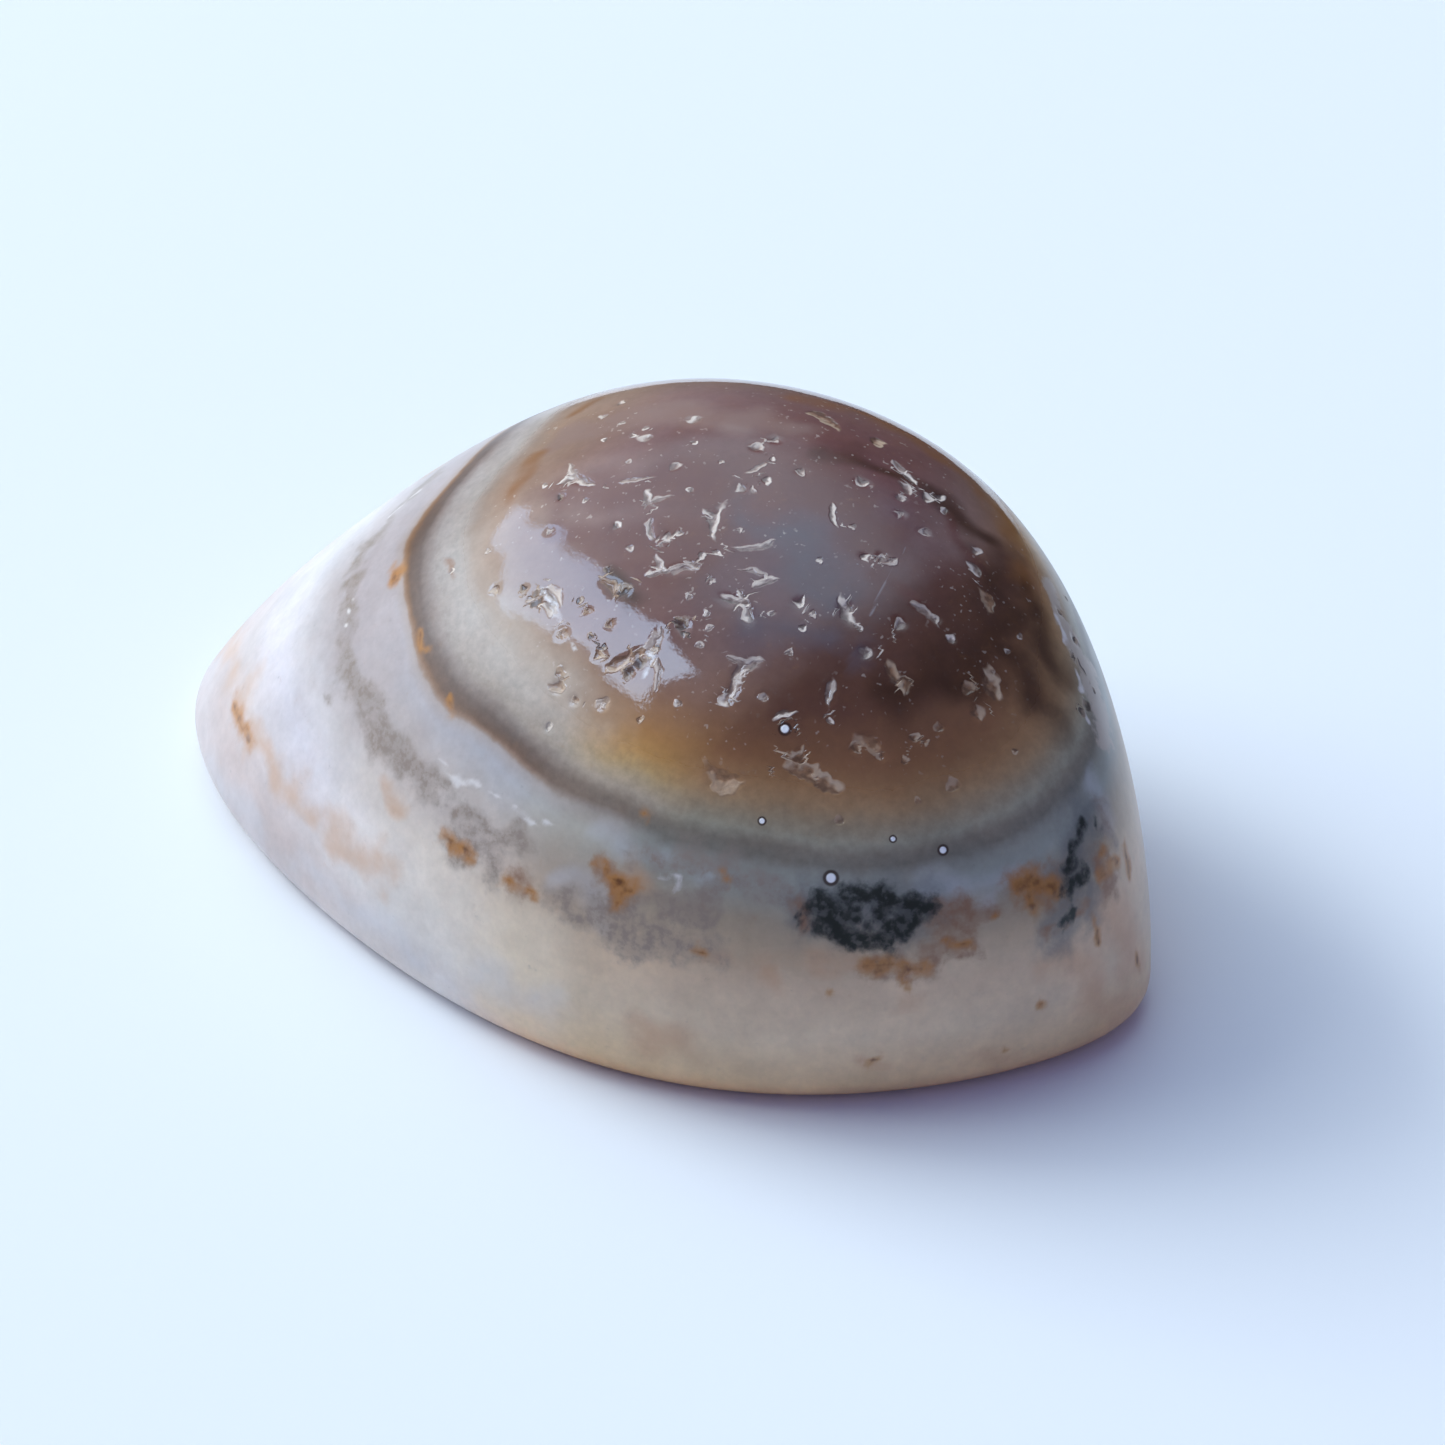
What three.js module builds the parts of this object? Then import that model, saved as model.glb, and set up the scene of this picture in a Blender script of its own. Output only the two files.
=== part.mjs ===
// An eye agate: one natural stone, polished to a high almond-shaped dome on a flat base.
// Sizes are in millimetres. +Z is up, +X runs along the stone towards its narrower tip,
// and the origin is under the middle of the outline, on the plane that the stone rests on.
import * as THREE from 'three';

// Driving dimensions
const HALF_LENGTH = 10.0;
const HALF_WIDTH = 6.42;
const HEIGHT = 8.6;
const EDGE_HEIGHT = 0.6; // height of the widest ring, above the rounded lower edge
const BASE_SCALE = 0.93; // size of the flat base against the widest ring

// Outline, seen from above
const BELLY_SHIFT = 0.7; // the broadest part lies this far towards +X
const TIP_PINCH = 0.38; // how much narrower the +X tip is drawn than the blunt end
const SKEW = -0.1; // the outline is longer on one diagonal than on the other

// Profile of the dome: 2 is a ball's, more gives a fuller shoulder and 1 a straight slope
const FULLNESS = 2.31;
const FULLNESS_TO_TIP = 0.43; // added at the +X tip and taken off at the blunt end
const FULLNESS_AT_ENDS = -0.89; // added at both ends, so that the flanks are the fullest

// The top of the dome leans away from the side that shows the eye
const TOP_SHIFT_X = 1.0;
const TOP_SHIFT_Y = 1.7;
const TOP_SHIFT_POWER = 1.5;

// Slow unevenness left by the hand polishing, as a share of a ring's radius
const UNEVENNESS = 0.012;
const WAVES_ROUND = 3;
const WAVE_START = -1.6;
const WAVE_TWIST = -2.9;

// Fineness of the faceted surface
const SEGMENTS = 88;
const DOME_ROWS = 30;
const EDGE_ROWS = 4;
const BASE_ROWS = 1;
const ROWS = DOME_ROWS + EDGE_ROWS + BASE_ROWS;

const QUARTER_TURN = Math.PI / 2;

/** A point of the dome, for a direction round the stone and a rise from 0 at the edge to 1 at the top. */
function domePoint(direction, rise) {
  const along = Math.cos(direction);
  const across = Math.sin(direction);
  const fullness = FULLNESS + FULLNESS_TO_TIP * along + FULLNESS_AT_ENDS * along ** 2;
  const wave = Math.sin(WAVES_ROUND * direction + WAVE_START + WAVE_TWIST * rise) * Math.sin(Math.PI * rise);
  const ring = Math.sqrt(1 - rise ** fullness) * (1 + SKEW * along * across + UNEVENNESS * wave);
  const pinch = 1 - TIP_PINCH * (1 + along) / 2 * along ** 2 * (1 - rise);
  const shift = rise ** TOP_SHIFT_POWER;
  return new THREE.Vector3(
    (HALF_LENGTH * along + BELLY_SHIFT * across ** 2) * ring + TOP_SHIFT_X * shift,
    HALF_WIDTH * across * pinch * ring + TOP_SHIFT_Y * shift,
    EDGE_HEIGHT + (HEIGHT - EDGE_HEIGHT) * rise,
  );
}

/** A point of the rounded lower edge, which turns from 0 at the widest ring to a quarter turn at the base. */
function edgePoint(direction, turn) {
  const scale = BASE_SCALE + (1 - BASE_SCALE) * Math.cos(turn);
  const point = domePoint(direction, 0).multiplyScalar(scale);
  point.z = EDGE_HEIGHT * (1 - Math.sin(turn));
  return point;
}

/** A point of the flat base, with inset 0 at its rim and 1 at its middle. */
function basePoint(direction, inset) {
  return edgePoint(direction, QUARTER_TURN).multiplyScalar(1 - inset);
}

/** The stone's point for a row counted down from the top, over the dome, the edge and then the base. */
function stonePoint(direction, row) {
  if (row <= DOME_ROWS) {
    return domePoint(direction, Math.cos(QUARTER_TURN * row / DOME_ROWS));
  }
  const edgeRow = row - DOME_ROWS;
  if (edgeRow <= EDGE_ROWS) {
    return edgePoint(direction, QUARTER_TURN * edgeRow / EDGE_ROWS);
  }
  return basePoint(direction, (edgeRow - EDGE_ROWS) / BASE_ROWS);
}

/** The stone's surface: a unit ball whose rows of points are moved onto the stone. */
function stoneGeometry() {
  const geometry = new THREE.SphereGeometry(1, SEGMENTS, ROWS).rotateX(QUARTER_TURN);
  const position = geometry.attributes.position;
  const onBall = new THREE.Vector3();
  for (let i = 0; i < position.count; i += 1) {
    onBall.fromBufferAttribute(position, i);
    const direction = Math.atan2(onBall.y, onBall.x);
    const row = Math.round(Math.acos(THREE.MathUtils.clamp(onBall.z, -1, 1)) / Math.PI * ROWS);
    const point = stonePoint(direction, row);
    position.setXYZ(i, point.x, point.y, point.z);
  }
  return geometry;
}

/** Moves a geometry sideways until its outline is centred on the origin. */
function centreOutline(geometry) {
  geometry.computeBoundingBox();
  const middle = geometry.boundingBox.getCenter(new THREE.Vector3());
  return geometry.translate(-middle.x, -middle.y, 0);
}

/** Polished agate, in the stone's average colour. */
function agateMaterial() {
  return new THREE.MeshStandardMaterial({ color: '#bfb0a9', roughness: 0.25, metalness: 0 });
}

/** The whole stone. */
function eyeAgate() {
  const geometry = centreOutline(stoneGeometry());
  geometry.computeVertexNormals();
  const stone = new THREE.Mesh(geometry, agateMaterial());
  stone.name = 'eye_agate';
  return stone;
}

const model = new THREE.Group();
model.add(eyeAgate());

export default model;
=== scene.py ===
"""Eye agate: the polished stone of the photograph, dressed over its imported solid.

The stone's surface is worked out with numpy from the same form as the solid. Its growth layers are
nearly flat sheets that the dome cuts through, so every band is a function of one height, measured
across the sheets. Sizes are in millimetres until a mesh is made, and in metres in Blender.
"""
import math

import bpy
import numpy as np
from mathutils import Matrix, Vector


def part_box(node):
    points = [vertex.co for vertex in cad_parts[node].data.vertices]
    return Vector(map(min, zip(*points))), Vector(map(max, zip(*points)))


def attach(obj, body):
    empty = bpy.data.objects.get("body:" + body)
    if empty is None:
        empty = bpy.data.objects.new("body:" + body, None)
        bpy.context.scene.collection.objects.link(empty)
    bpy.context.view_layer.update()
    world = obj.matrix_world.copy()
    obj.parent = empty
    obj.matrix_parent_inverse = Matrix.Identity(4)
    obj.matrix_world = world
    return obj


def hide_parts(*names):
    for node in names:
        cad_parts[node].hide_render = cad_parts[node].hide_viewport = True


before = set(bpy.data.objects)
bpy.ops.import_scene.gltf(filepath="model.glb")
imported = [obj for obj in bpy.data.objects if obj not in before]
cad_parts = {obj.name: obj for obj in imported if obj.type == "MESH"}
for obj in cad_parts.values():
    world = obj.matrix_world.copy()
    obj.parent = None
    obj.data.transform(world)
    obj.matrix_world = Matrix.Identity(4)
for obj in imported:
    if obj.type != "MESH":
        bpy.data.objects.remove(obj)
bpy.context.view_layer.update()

bl_info = {
    "name": "Eye agate",
    "version": (1, 0, 0),
    "blender": (4, 5, 0),
    "location": "3D View > Sidebar > Eye agate",
    "description": "Builds a polished eye agate and the pale stage that it is seen on",
    "category": "Object",
}

NODE = "eye_agate"
BODY = "root"
MM = 0.001

# Outline of the stone, in millimetres
HALF_LENGTH = 10.0
HALF_WIDTH = 6.42
HEIGHT = 8.6
EDGE_HEIGHT = 0.6
BASE_SCALE = 0.93
BELLY_SHIFT = 0.7
TIP_PINCH = 0.38
SKEW = -0.1

# Profile of the dome
FULLNESS = 2.31
FULLNESS_TO_TIP = 0.43
FULLNESS_AT_ENDS = -0.89
TOP_SHIFT_X = 1.0
TOP_SHIFT_Y = 1.7
TOP_SHIFT_POWER = 1.5
UNEVENNESS = 0.012
WAVES_ROUND = 3
WAVE_START = -1.6
WAVE_TWIST = -2.9

# Fineness of the mesh: a square grid laid over the crown, then rings down to the base
CROWN_POINTS = 232
CROWN_REACH = 0.62
WALL_ROWS = 38
EDGE_ROWS = 7

# The growth layers lean: a sheet sinks by these shares for each millimetre along +X and rises along +Y. The
# cap's lean along X takes over between two heights, and the layers' scale ends at its top
LAYER_LEAN_X = 0.1
LAYER_LEAN_Y = -0.163
CAP_LEAN_X = 0.06
CAP_LEAN_FROM = 5.9
CAP_LEAN_TO = 6.8
LAYER_TOP = 9.0

# The sheets also sink at the blunt end and at the back, and rise towards the brown side
END_DIP = 0.15
END_DIP_FROM = 4.5
END_DIP_TO = 8.0
BACK_DIP = 0.25
BACK_DIP_FROM = 1.2
BACK_DIP_TO = 3.2
BACK_DIP_STOPS_FROM = 3.5
BACK_DIP_STOPS_AT = 5.5
BROWN_RISE = 0.34

# The stone is milky on one side and brown on the other: direction of the brown side, how far along it
# the middle of the change lies, the reach of the change each way, and the places, as shares of it, where
# the amber layers' colours set in and are reached, where the brown ones' are, and where the rise ends
BROWN_DIRECTION = 335.0
MIDDLE_PLACE = 2.0
BROWN_REACH = 6.0
NO_AMBER = -0.12
ALL_AMBER = 0.25
ALL_BROWN = 0.5
RISE_DONE = 0.8

# The photograph's view: its frame, and a camera placed round the stone
PHOTO_SIZE = 1445
VIEW_TURN = math.radians(29.5)
VIEW_RISE = math.radians(39.0)
VIEW_DISTANCE = 120.0
VIEW_AIM = (0.24, 1.70, 1.74)
FOCAL_PIXELS = 6405.0
SENSOR_WIDTH = 36.0

# Soft glows of the world: degrees right of straight away and up, and the angles where they fade
GLOW_PLACE = (-60.0, 30.0)
OVERHEAD_PLACE = (-15.0, 62.0)
GLOW_HEART = 8.0
GLOW_EDGE = 38.0

# The window that the cap mirrors: its corners in the same angles, the number of its far corner, the
# softness of its edge and the reach of the waves in it, as shares of its distance, the fineness and detail
# of those waves, and its brightness at two angles from the far corner
WINDOW_CORNERS = (
    (-35.5, 19.7),
    (-43.0, 30.0),
    (-93.0, 56.5),
    (-116.0, 58.5),
    (-112.0, 45.5),
    (-87.0, 39.0),
    (-43.0, 20.5),
)
WINDOW_FAR_CORNER = 3
WINDOW_SOFTNESS = 0.014
WINDOW_WAVE = 0.16
WINDOW_WAVE_FINENESS = 4.0
WINDOW_WAVE_DETAIL = 0.5
WINDOW_BRIGHT_END = (8.0, 1.6)
WINDOW_DIM_END = (67.0, 0.9)

# Angles above the horizon between which the mirrored dark room gives way to the sky
DARK_BELOW = 0.0
LIT_ABOVE = 36.0

# The strips of light: their two ends in the same angles, and their height as a share of their distance
KEY_ENDS = ((-39.5, 26.0), (-66.5, 40.5))
KEY_HEIGHT = 0.20
DAY_ENDS = ((-87.0, 30.0), (-33.0, 30.0))
DAY_HEIGHT = 0.75
STRIP_DISTANCE = 0.5

# What the camera sees, in metres from it
NEAREST_SEEN = 0.001
FARTHEST_SEEN = 50.0

# Sides of the floor's rings, how far the floor lies under the base, so that the two don't coincide, the
# radius of the floor's hole, which the stone hides, and the floor's roughness
FLOOR_SIDES = 96
FLOOR_GAP = 0.01
FLOOR_HOLE = 0.1
FLOOR_ROUGHNESS = 0.9

# Plane waves in one set of cloudy numbers, and the range of their fineness
WAVE_COUNT = 24
WAVE_FINENESS = (0.6, 1.6)

# Marks are placed by pixel of the photograph, and their half widths are in its pixels seen face on. A mark
# may land this far, in millimetres, from the nearest point of the mesh
MM_PER_PIXEL = VIEW_DISTANCE / FOCAL_PIXELS
FARTHEST_LANDING = 0.2

# Strokes shorter than this count as dots
SHORTEST_STROKE = 1e-9

# Seeds of the marks' fields: the first, and the step from one to the next
FIRST_SEED = 11
SEED_STEP = 10

# The eye: size and reach of the wandering that frays it, its seed, how softly it ends at its crack, and how
# much weaker it is beyond
EYE_WANDER = (2.0, 0.12)
EYE_SEED = 5
CRACK_SOFTNESS = 0.06
BEYOND_CRACK = 0.45

# Bruises: depth of a large one, the half width from which they are sunk, their seed, how strongly they bend
# into arcs, the middle of the arcs, and the distance, in half widths, that counts as far. The part of a
# bruise's number after the point, which tells its brightness, keeps clear of the whole numbers
BRUISE_DEPTH = 0.03
SUNK_FROM = 0.08
BRUISE_SEED = 12
BRUISE_BEND = 0.9
ARC_MIDDLE = 0.4
FAR_FROM_BRUISE = 6.0
NUMBER_PART = (0.05, 0.95)

# Seeded bruises where the photograph doesn't show the stone: how many, the layer heights between which they
# lie, how far they stretch, their half widths, and how many of the first kinds they are of
HIDDEN_BRUISES = 26
HIDDEN_BRUISE_LAYERS = (6.7, 9.0)
HIDDEN_BRUISE_STRETCH = 0.08
HIDDEN_BRUISE_WIDTHS = (0.06, 0.13)
HIDDEN_BRUISE_KINDS = 2

# Other seeded marks there: the layer heights between which stains, clouds of the wall and clouds of the cap
# lie, how far they stretch along X, Y and Z, and how much wider they are than those of the photograph
HIDDEN_STAIN_LAYERS = (4.0, 5.3)
HIDDEN_CLOUD_LAYERS = (1.5, 5.2)
HIDDEN_CAP_LAYERS = (7.0, 9.0)
HIDDEN_STRETCH = (0.5, 0.5, 0.08)
HIDDEN_WIDENING = 1.5

# Bruises of the polish, as dots (x, y, half width) and strokes (x, y, x, y, half width)
PALE_CHIPS = (
    (575, 477, 8), (562, 482, 575, 477, 4), (570, 464, 575, 477, 4), (575, 477, 592, 484, 5),
    (618, 483, 652, 477, 3), (648, 502, 672, 496, 4), (647, 492, 648, 505, 4), (676, 465, 6),
    (648, 575, 668, 571, 4), (668, 571, 696, 567, 4.5), (658, 559, 664, 571, 4), (690, 562, 697, 568, 4),
    (719, 507, 712, 533, 6), (705, 510, 713, 517, 4), (742, 549, 772, 543, 4), (744, 570, 761, 574, 4),
    (757, 584, 778, 579, 4), (740, 488, 6), (754, 492, 4), (767, 480, 6), (773, 459, 4), (801, 471, 5),
    (748, 472, 762, 466, 4), (721, 597, 742, 602, 5), (742, 602, 750, 622, 5), (738, 590, 748, 604, 3),
    (726, 699, 8), (728, 698, 735, 680, 6), (735, 680, 745, 667, 6), (745, 667, 757, 662, 6),
    (733, 658, 745, 667, 4), (776, 718, 792, 712, 4), (799, 602, 6), (813, 613, 4), (803, 628, 4),
    (842, 604, 852, 622, 6), (846, 608, 7), (860, 628, 4), (866, 652, 7), (865, 557, 5), (882, 557, 5),
    (884, 562, 897, 560, 4), (757, 447, 8), (774, 440, 6), (693, 420, 8), (694, 442, 4), (645, 438, 7),
    (646, 428, 4), (622, 402, 5), (602, 417, 5), (622, 423, 4), (633, 436, 4), (604, 440, 4),
    (617, 526, 5), (650, 521, 651, 536, 5), (679, 534, 4), (667, 536, 5), (550, 532, 5), (630, 548, 4),
    (717, 553, 4), (702, 555, 4), (927, 497, 7), (941, 498, 6), (945, 511, 6), (901, 498, 5),
    (900, 514, 5), (862, 482, 6), (926, 532, 6), (896, 463, 904, 473, 5), (904, 473, 914, 482, 5),
    (903, 484, 908, 492, 5), (900, 624, 6), (951, 639, 5), (976, 550, 6), (970, 564, 978, 574, 5),
    (853, 526, 4), (832, 503, 835, 524, 4), (771, 614, 4), (832, 682, 828, 703, 5), (763, 696, 5),
    (678, 704, 4), (689, 597, 4), (706, 613, 4), (710, 628, 4), (548, 590, 558, 602, 7),
    (660, 632, 648, 652, 6), (545, 604, 552, 614, 5), (660, 672, 4), (916, 605, 935, 620, 5),
    (935, 619, 5), (488, 551, 4), (451, 571, 4), (549, 727, 5), (602, 704, 7), (1008, 652, 4),
    (1020, 636, 4), (830, 720, 4), (545, 485, 4), (690, 490, 4), (660, 545, 4), (700, 645, 4),
    (790, 650, 4), (712, 580, 3.5), (585, 500, 4), (628, 462, 4), (722, 462, 3.5), (820, 560, 3.5),
    (740, 530, 3.5), (655, 690, 659, 664, 4), (530, 600, 540, 594, 5),
)
TAN_CHIPS = (
    (812, 413, 824, 418, 7), (824, 418, 836, 426, 7), (878, 442, 8), (984, 594, 991, 610, 6),
    (890, 668, 899, 678, 8), (899, 678, 905, 690, 6), (988, 678, 996, 692, 10), (968, 688, 7),
    (978, 713, 8), (862, 738, 876, 748, 7), (855, 748, 6), (712, 772, 732, 782, 11), (798, 756, 8),
    (794, 766, 818, 778, 9), (818, 776, 836, 788, 8), (558, 686, 8), (562, 672, 6),
    (614, 666, 630, 658, 7), (630, 658, 645, 651, 6), (952, 785, 7), (914, 738, 5), (926, 742, 4),
    (939, 727, 5), (562, 634, 6), (599, 655, 5), (587, 611, 5), (612, 624, 6), (606, 582, 614, 592, 6),
    (1015, 752, 4), (880, 757, 5), (840, 820, 5), (918, 800, 4), (495, 590, 5), (575, 700, 5),
    (640, 720, 4), (905, 760, 4),
)
PITS = (
    (537, 597, 9), (524, 588, 5), (640, 662, 8), (628, 672, 6), (655, 648, 5), (624, 590, 7),
    (683, 626, 7), (676, 618, 684, 634, 4), (606, 570, 4), (590, 636, 4), (604, 646, 4), (580, 600, 4),
    (1060, 612, 5), (1075, 640, 6), (1078, 662, 1084, 672, 4), (1086, 704, 7), (1082, 712, 5),
    (560, 497, 5), (1066, 598, 4), (1071, 655, 4), (1094, 690, 4),
)
# Beads are painted glints: pure white dots in a dark ring
GLINT_BEADS = ((831, 878, 7), (943, 850, 5), (762, 821, 4), (893, 839, 3.5), (785, 729, 6), (400, 478, 2.5))

# The kinds of bruise, by number, and the one that beads are
BRUISE_KINDS = (PALE_CHIPS, TAN_CHIPS, PITS, GLINT_BEADS)
BEAD = 3

# Places where the layers dip a little, and how far, in millimetres
LAYER_DIPS = ((490, 758, 600, 818, 82), (382, 590, 392, 640, 56))
LAYER_DIP = 0.19

# Clouds in the brown cap. The first, pale mauve and high on the cap, is a painted reflection
VEIL_REFLECTION = ((625, 415, 788, 430, 25), (560, 440, 620, 425, 20))
WINE = (
    (570, 490, 700, 480, 30), (600, 545, 690, 540, 34), (615, 565, 650, 580, 12),
    (700, 560, 640, 580, 20), (815, 470, 880, 540, 34), (880, 570, 905, 590, 14),
    (930, 500, 970, 560, 16), (560, 520, 590, 540, 18),
)
EYE = ((740, 510, 800, 545, 38), (800, 550, 835, 602, 43), (750, 632, 832, 642, 38))
EYE_CRACK = (905, 547, 870, 616)
BROWN = (
    (835, 448, 925, 492, 12), (935, 500, 1000, 562, 15), (1000, 562, 1034, 610, 14),
    (895, 700, 965, 672, 22), (965, 672, 1012, 606, 32), (990, 560, 1012, 606, 22),
    (1028, 606, 1046, 664, 24), (1000, 640, 1040, 700, 28), (600, 575, 640, 600, 12),
)
AMBER = (
    (1018, 575, 11), (600, 400, 575, 412, 6), (540, 455, 512, 492, 7), (800, 398, 870, 415, 10),
    (870, 415, 950, 462, 13), (950, 462, 1012, 532, 11),
)
CRACKS = (
    (905, 547, 886, 582, 1.8), (886, 582, 870, 616, 2.6), (832, 503, 852, 554, 1.5),
    (852, 554, 862, 572, 1.2),
)

# The clouded, stained stretch of the layers below the dark ring: a pale band, partly a painted reflection
PALE_BAND_AND_REFLECTION = (
    (1048, 583, 1062, 622, 11), (1064, 622, 1084, 670, 16), (1088, 672, 1104, 735, 20),
)
HAZE = (
    (822, 912, 915, 915, 24), (840, 925, 900, 930, 18), (1084, 822, 1076, 870, 24),
    (1068, 880, 1064, 930, 24), (1092, 870, 1090, 905, 18), (806, 915, 812, 925, 10),
)
BLACK_MOSS = (
    (818, 900, 850, 898, 9), (850, 896, 895, 896, 9), (895, 902, 928, 908, 9), (818, 908, 832, 926, 11),
    (832, 930, 850, 938, 9), (855, 941, 893, 940, 10), (896, 930, 908, 918, 11), (910, 916, 930, 913, 8),
    (840, 908, 846, 922, 7), (862, 926, 882, 912, 5), (798, 918, 803, 929, 4), (1081, 824, 1074, 850, 6),
    (1071, 862, 1066, 888, 8), (1085, 870, 1074, 886, 6), (1076, 905, 1062, 926, 5), (1100, 824, 4),
)
RUST = (
    (603, 862, 612, 876, 6), (612, 876, 622, 890, 8), (622, 890, 617, 905, 6), (622, 890, 634, 888, 6),
    (508, 878, 517, 887, 6), (528, 888, 534, 896, 5), (693, 949, 702, 952, 6), (868, 967, 892, 964, 8),
    (903, 967, 924, 968, 7), (903, 974, 909, 990, 4), (1020, 882, 1035, 880, 11),
    (1035, 884, 1052, 888, 10), (1028, 893, 1033, 910, 7), (1100, 874, 1110, 868, 6),
    (1110, 866, 1118, 860, 5), (1105, 850, 5), (1094, 915, 1099, 947, 4), (1137, 955, 1140, 968, 5),
    (397, 568, 396, 580, 7), (420, 634, 424, 648, 5), (447, 702, 456, 714, 5), (447, 838, 470, 856, 7),
    (1041, 1005, 5), (1005, 1049, 5), (875, 1062, 6), (829, 996, 4), (234, 702, 250, 741, 8),
    (1125, 850, 1130, 880, 5), (995, 917, 4), (945, 940, 972, 945, 4), (720, 870, 728, 880, 4),
    (640, 812, 648, 818, 4),
)
OLD_RUST = (
    (938, 912, 965, 905, 11), (950, 925, 985, 915, 12), (985, 917, 996, 919, 6), (938, 935, 970, 942, 9),
    (925, 950, 975, 955, 7), (1090, 900, 1062, 925, 6), (1048, 934, 7), (1100, 856, 1112, 892, 12),
    (870, 968, 925, 968, 12), (1020, 884, 1052, 886, 16), (800, 905, 806, 928, 7), (520, 885, 14),
    (604, 870, 622, 900, 12), (448, 562, 452, 578, 5),
)
SMOKE = (
    (352, 585, 345, 640, 12), (360, 560, 385, 525, 12), (385, 525, 440, 470, 10),
    (345, 650, 358, 690, 12), (327, 703, 8), (365, 695, 378, 715, 12), (380, 730, 400, 760, 15),
    (400, 760, 430, 790, 14), (436, 765, 450, 790, 11), (450, 838, 490, 860, 18),
    (555, 898, 575, 914, 14), (575, 914, 640, 940, 15), (640, 934, 705, 948, 15),
    (600, 912, 700, 905, 18), (684, 898, 722, 890, 12), (700, 905, 720, 918, 9), (470, 815, 520, 840, 12),
    (740, 880, 800, 900, 12), (640, 860, 720, 860, 14), (1100, 800, 1112, 840, 9),
)
PEACH = (
    (228, 630, 245, 690, 22), (235, 700, 252, 745, 12), (250, 740, 300, 800, 18),
    (300, 800, 335, 835, 16), (335, 835, 380, 865, 18), (392, 788, 404, 808, 12),
    (765, 975, 778, 992, 10), (870, 1058, 880, 1066, 10), (905, 985, 912, 1010, 8),
    (640, 1030, 690, 1045, 22), (1105, 900, 1138, 960, 24), (985, 1050, 1010, 1050, 14),
    (700, 955, 830, 965, 10), (830, 955, 870, 958, 12), (1060, 960, 1120, 1010, 22),
    (600, 880, 640, 870, 14),
)
MIST = (
    (560, 880, 600, 900, 10), (600, 835, 700, 865, 12), (930, 880, 1025, 878, 12), (985, 905, 10),
    (300, 860, 420, 960, 18), (480, 975, 560, 1010, 18), (210, 770, 260, 830, 18),
    (1095, 785, 1112, 830, 12),
)
# Thin whitish lines. The strokes from (541, 588) to (577, 651) and from (655, 652) to (642, 675) are painted
# highlights of the polish
WHITE_VEIN_AND_GLINT = (
    (440, 760, 452, 778, 3.5), (452, 778, 480, 786, 4.5), (480, 786, 508, 806, 3.5),
    (508, 806, 528, 820, 4.5), (528, 820, 554, 824, 3.5), (660, 872, 680, 880, 4),
    (680, 880, 676, 895, 3), (352, 600, 348, 625, 4), (386, 520, 420, 490, 4), (1056, 615, 1066, 640, 5),
    (1076, 672, 1080, 688, 5), (1086, 715, 1089, 728, 4), (541, 588, 550, 600, 5),
    (550, 600, 561, 627, 4.5), (561, 627, 577, 651, 3.5), (655, 652, 642, 675, 4),
)

# Fields of the marks in the order of their seeds: name, marks, size and reach of the wandering that frays
# them, and the layer heights between which they carry on out of the photograph's sight
MARK_FIELDS = (
    ("veil_reflection", VEIL_REFLECTION, 1.5, 0.10, HIDDEN_CAP_LAYERS),
    ("wine", WINE, 1.5, 0.12, HIDDEN_CAP_LAYERS),
    ("brown", BROWN, 1.4, 0.12, None),
    ("amber", AMBER, 1.2, 0.08, None),
    ("haze", HAZE, 0.6, 0.08, None),
    ("moss", BLACK_MOSS, 0.5, 0.05, HIDDEN_STAIN_LAYERS),
    ("rust", RUST, 0.5, 0.04, HIDDEN_STAIN_LAYERS),
    ("old_rust", OLD_RUST, 0.5, 0.05, HIDDEN_STAIN_LAYERS),
    ("smoke", SMOKE, 1.0, 0.10, HIDDEN_STAIN_LAYERS),
    ("peach", PEACH, 1.4, 0.12, HIDDEN_CLOUD_LAYERS),
    ("mist", MIST, 1.4, 0.12, HIDDEN_CLOUD_LAYERS),
    ("vein_and_glint", WHITE_VEIN_AND_GLINT, 0.5, 0.04, None),
    ("crack", CRACKS, 0.6, 0.01, None),
    ("pale_band_and_reflection", PALE_BAND_AND_REFLECTION, 0.8, 0.05, None),
)


def dome_point(direction, rise):
    """A ring of radius sqrt(1 - rise ** fullness), pinched to a tip, widened at the belly, skewed to one
    diagonal, made slightly uneven by waves, and shifted sideways by rise ** TOP_SHIFT_POWER."""
    along = np.cos(direction)
    across = np.sin(direction)
    fullness = FULLNESS + FULLNESS_TO_TIP * along + FULLNESS_AT_ENDS * along ** 2
    wave = np.sin(WAVES_ROUND * direction + WAVE_START + WAVE_TWIST * rise) * np.sin(np.pi * rise)
    ring = np.sqrt(np.clip(1 - rise ** fullness, 0, 1)) * (1 + SKEW * along * across + UNEVENNESS * wave)
    pinch = 1 - TIP_PINCH * (1 + along) / 2 * along ** 2 * (1 - rise)
    shift = rise ** TOP_SHIFT_POWER
    x = (HALF_LENGTH * along + BELLY_SHIFT * across ** 2) * ring + TOP_SHIFT_X * shift
    y = HALF_WIDTH * across * pinch * ring + TOP_SHIFT_Y * shift
    z = EDGE_HEIGHT + (HEIGHT - EDGE_HEIGHT) * rise
    return np.stack([x, y, z + 0 * x], -1)


def edge_point(direction, turn):
    """The widest ring, shrunk towards the base on a quarter ellipse as turn goes from 0 to a quarter."""
    ring = dome_point(direction, np.zeros_like(direction))
    scale = BASE_SCALE + (1 - BASE_SCALE) * np.cos(turn)
    z = EDGE_HEIGHT * (1 - np.sin(turn))
    return np.stack([ring[..., 0] * scale, ring[..., 1] * scale, z + 0 * ring[..., 0]], -1)


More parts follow.
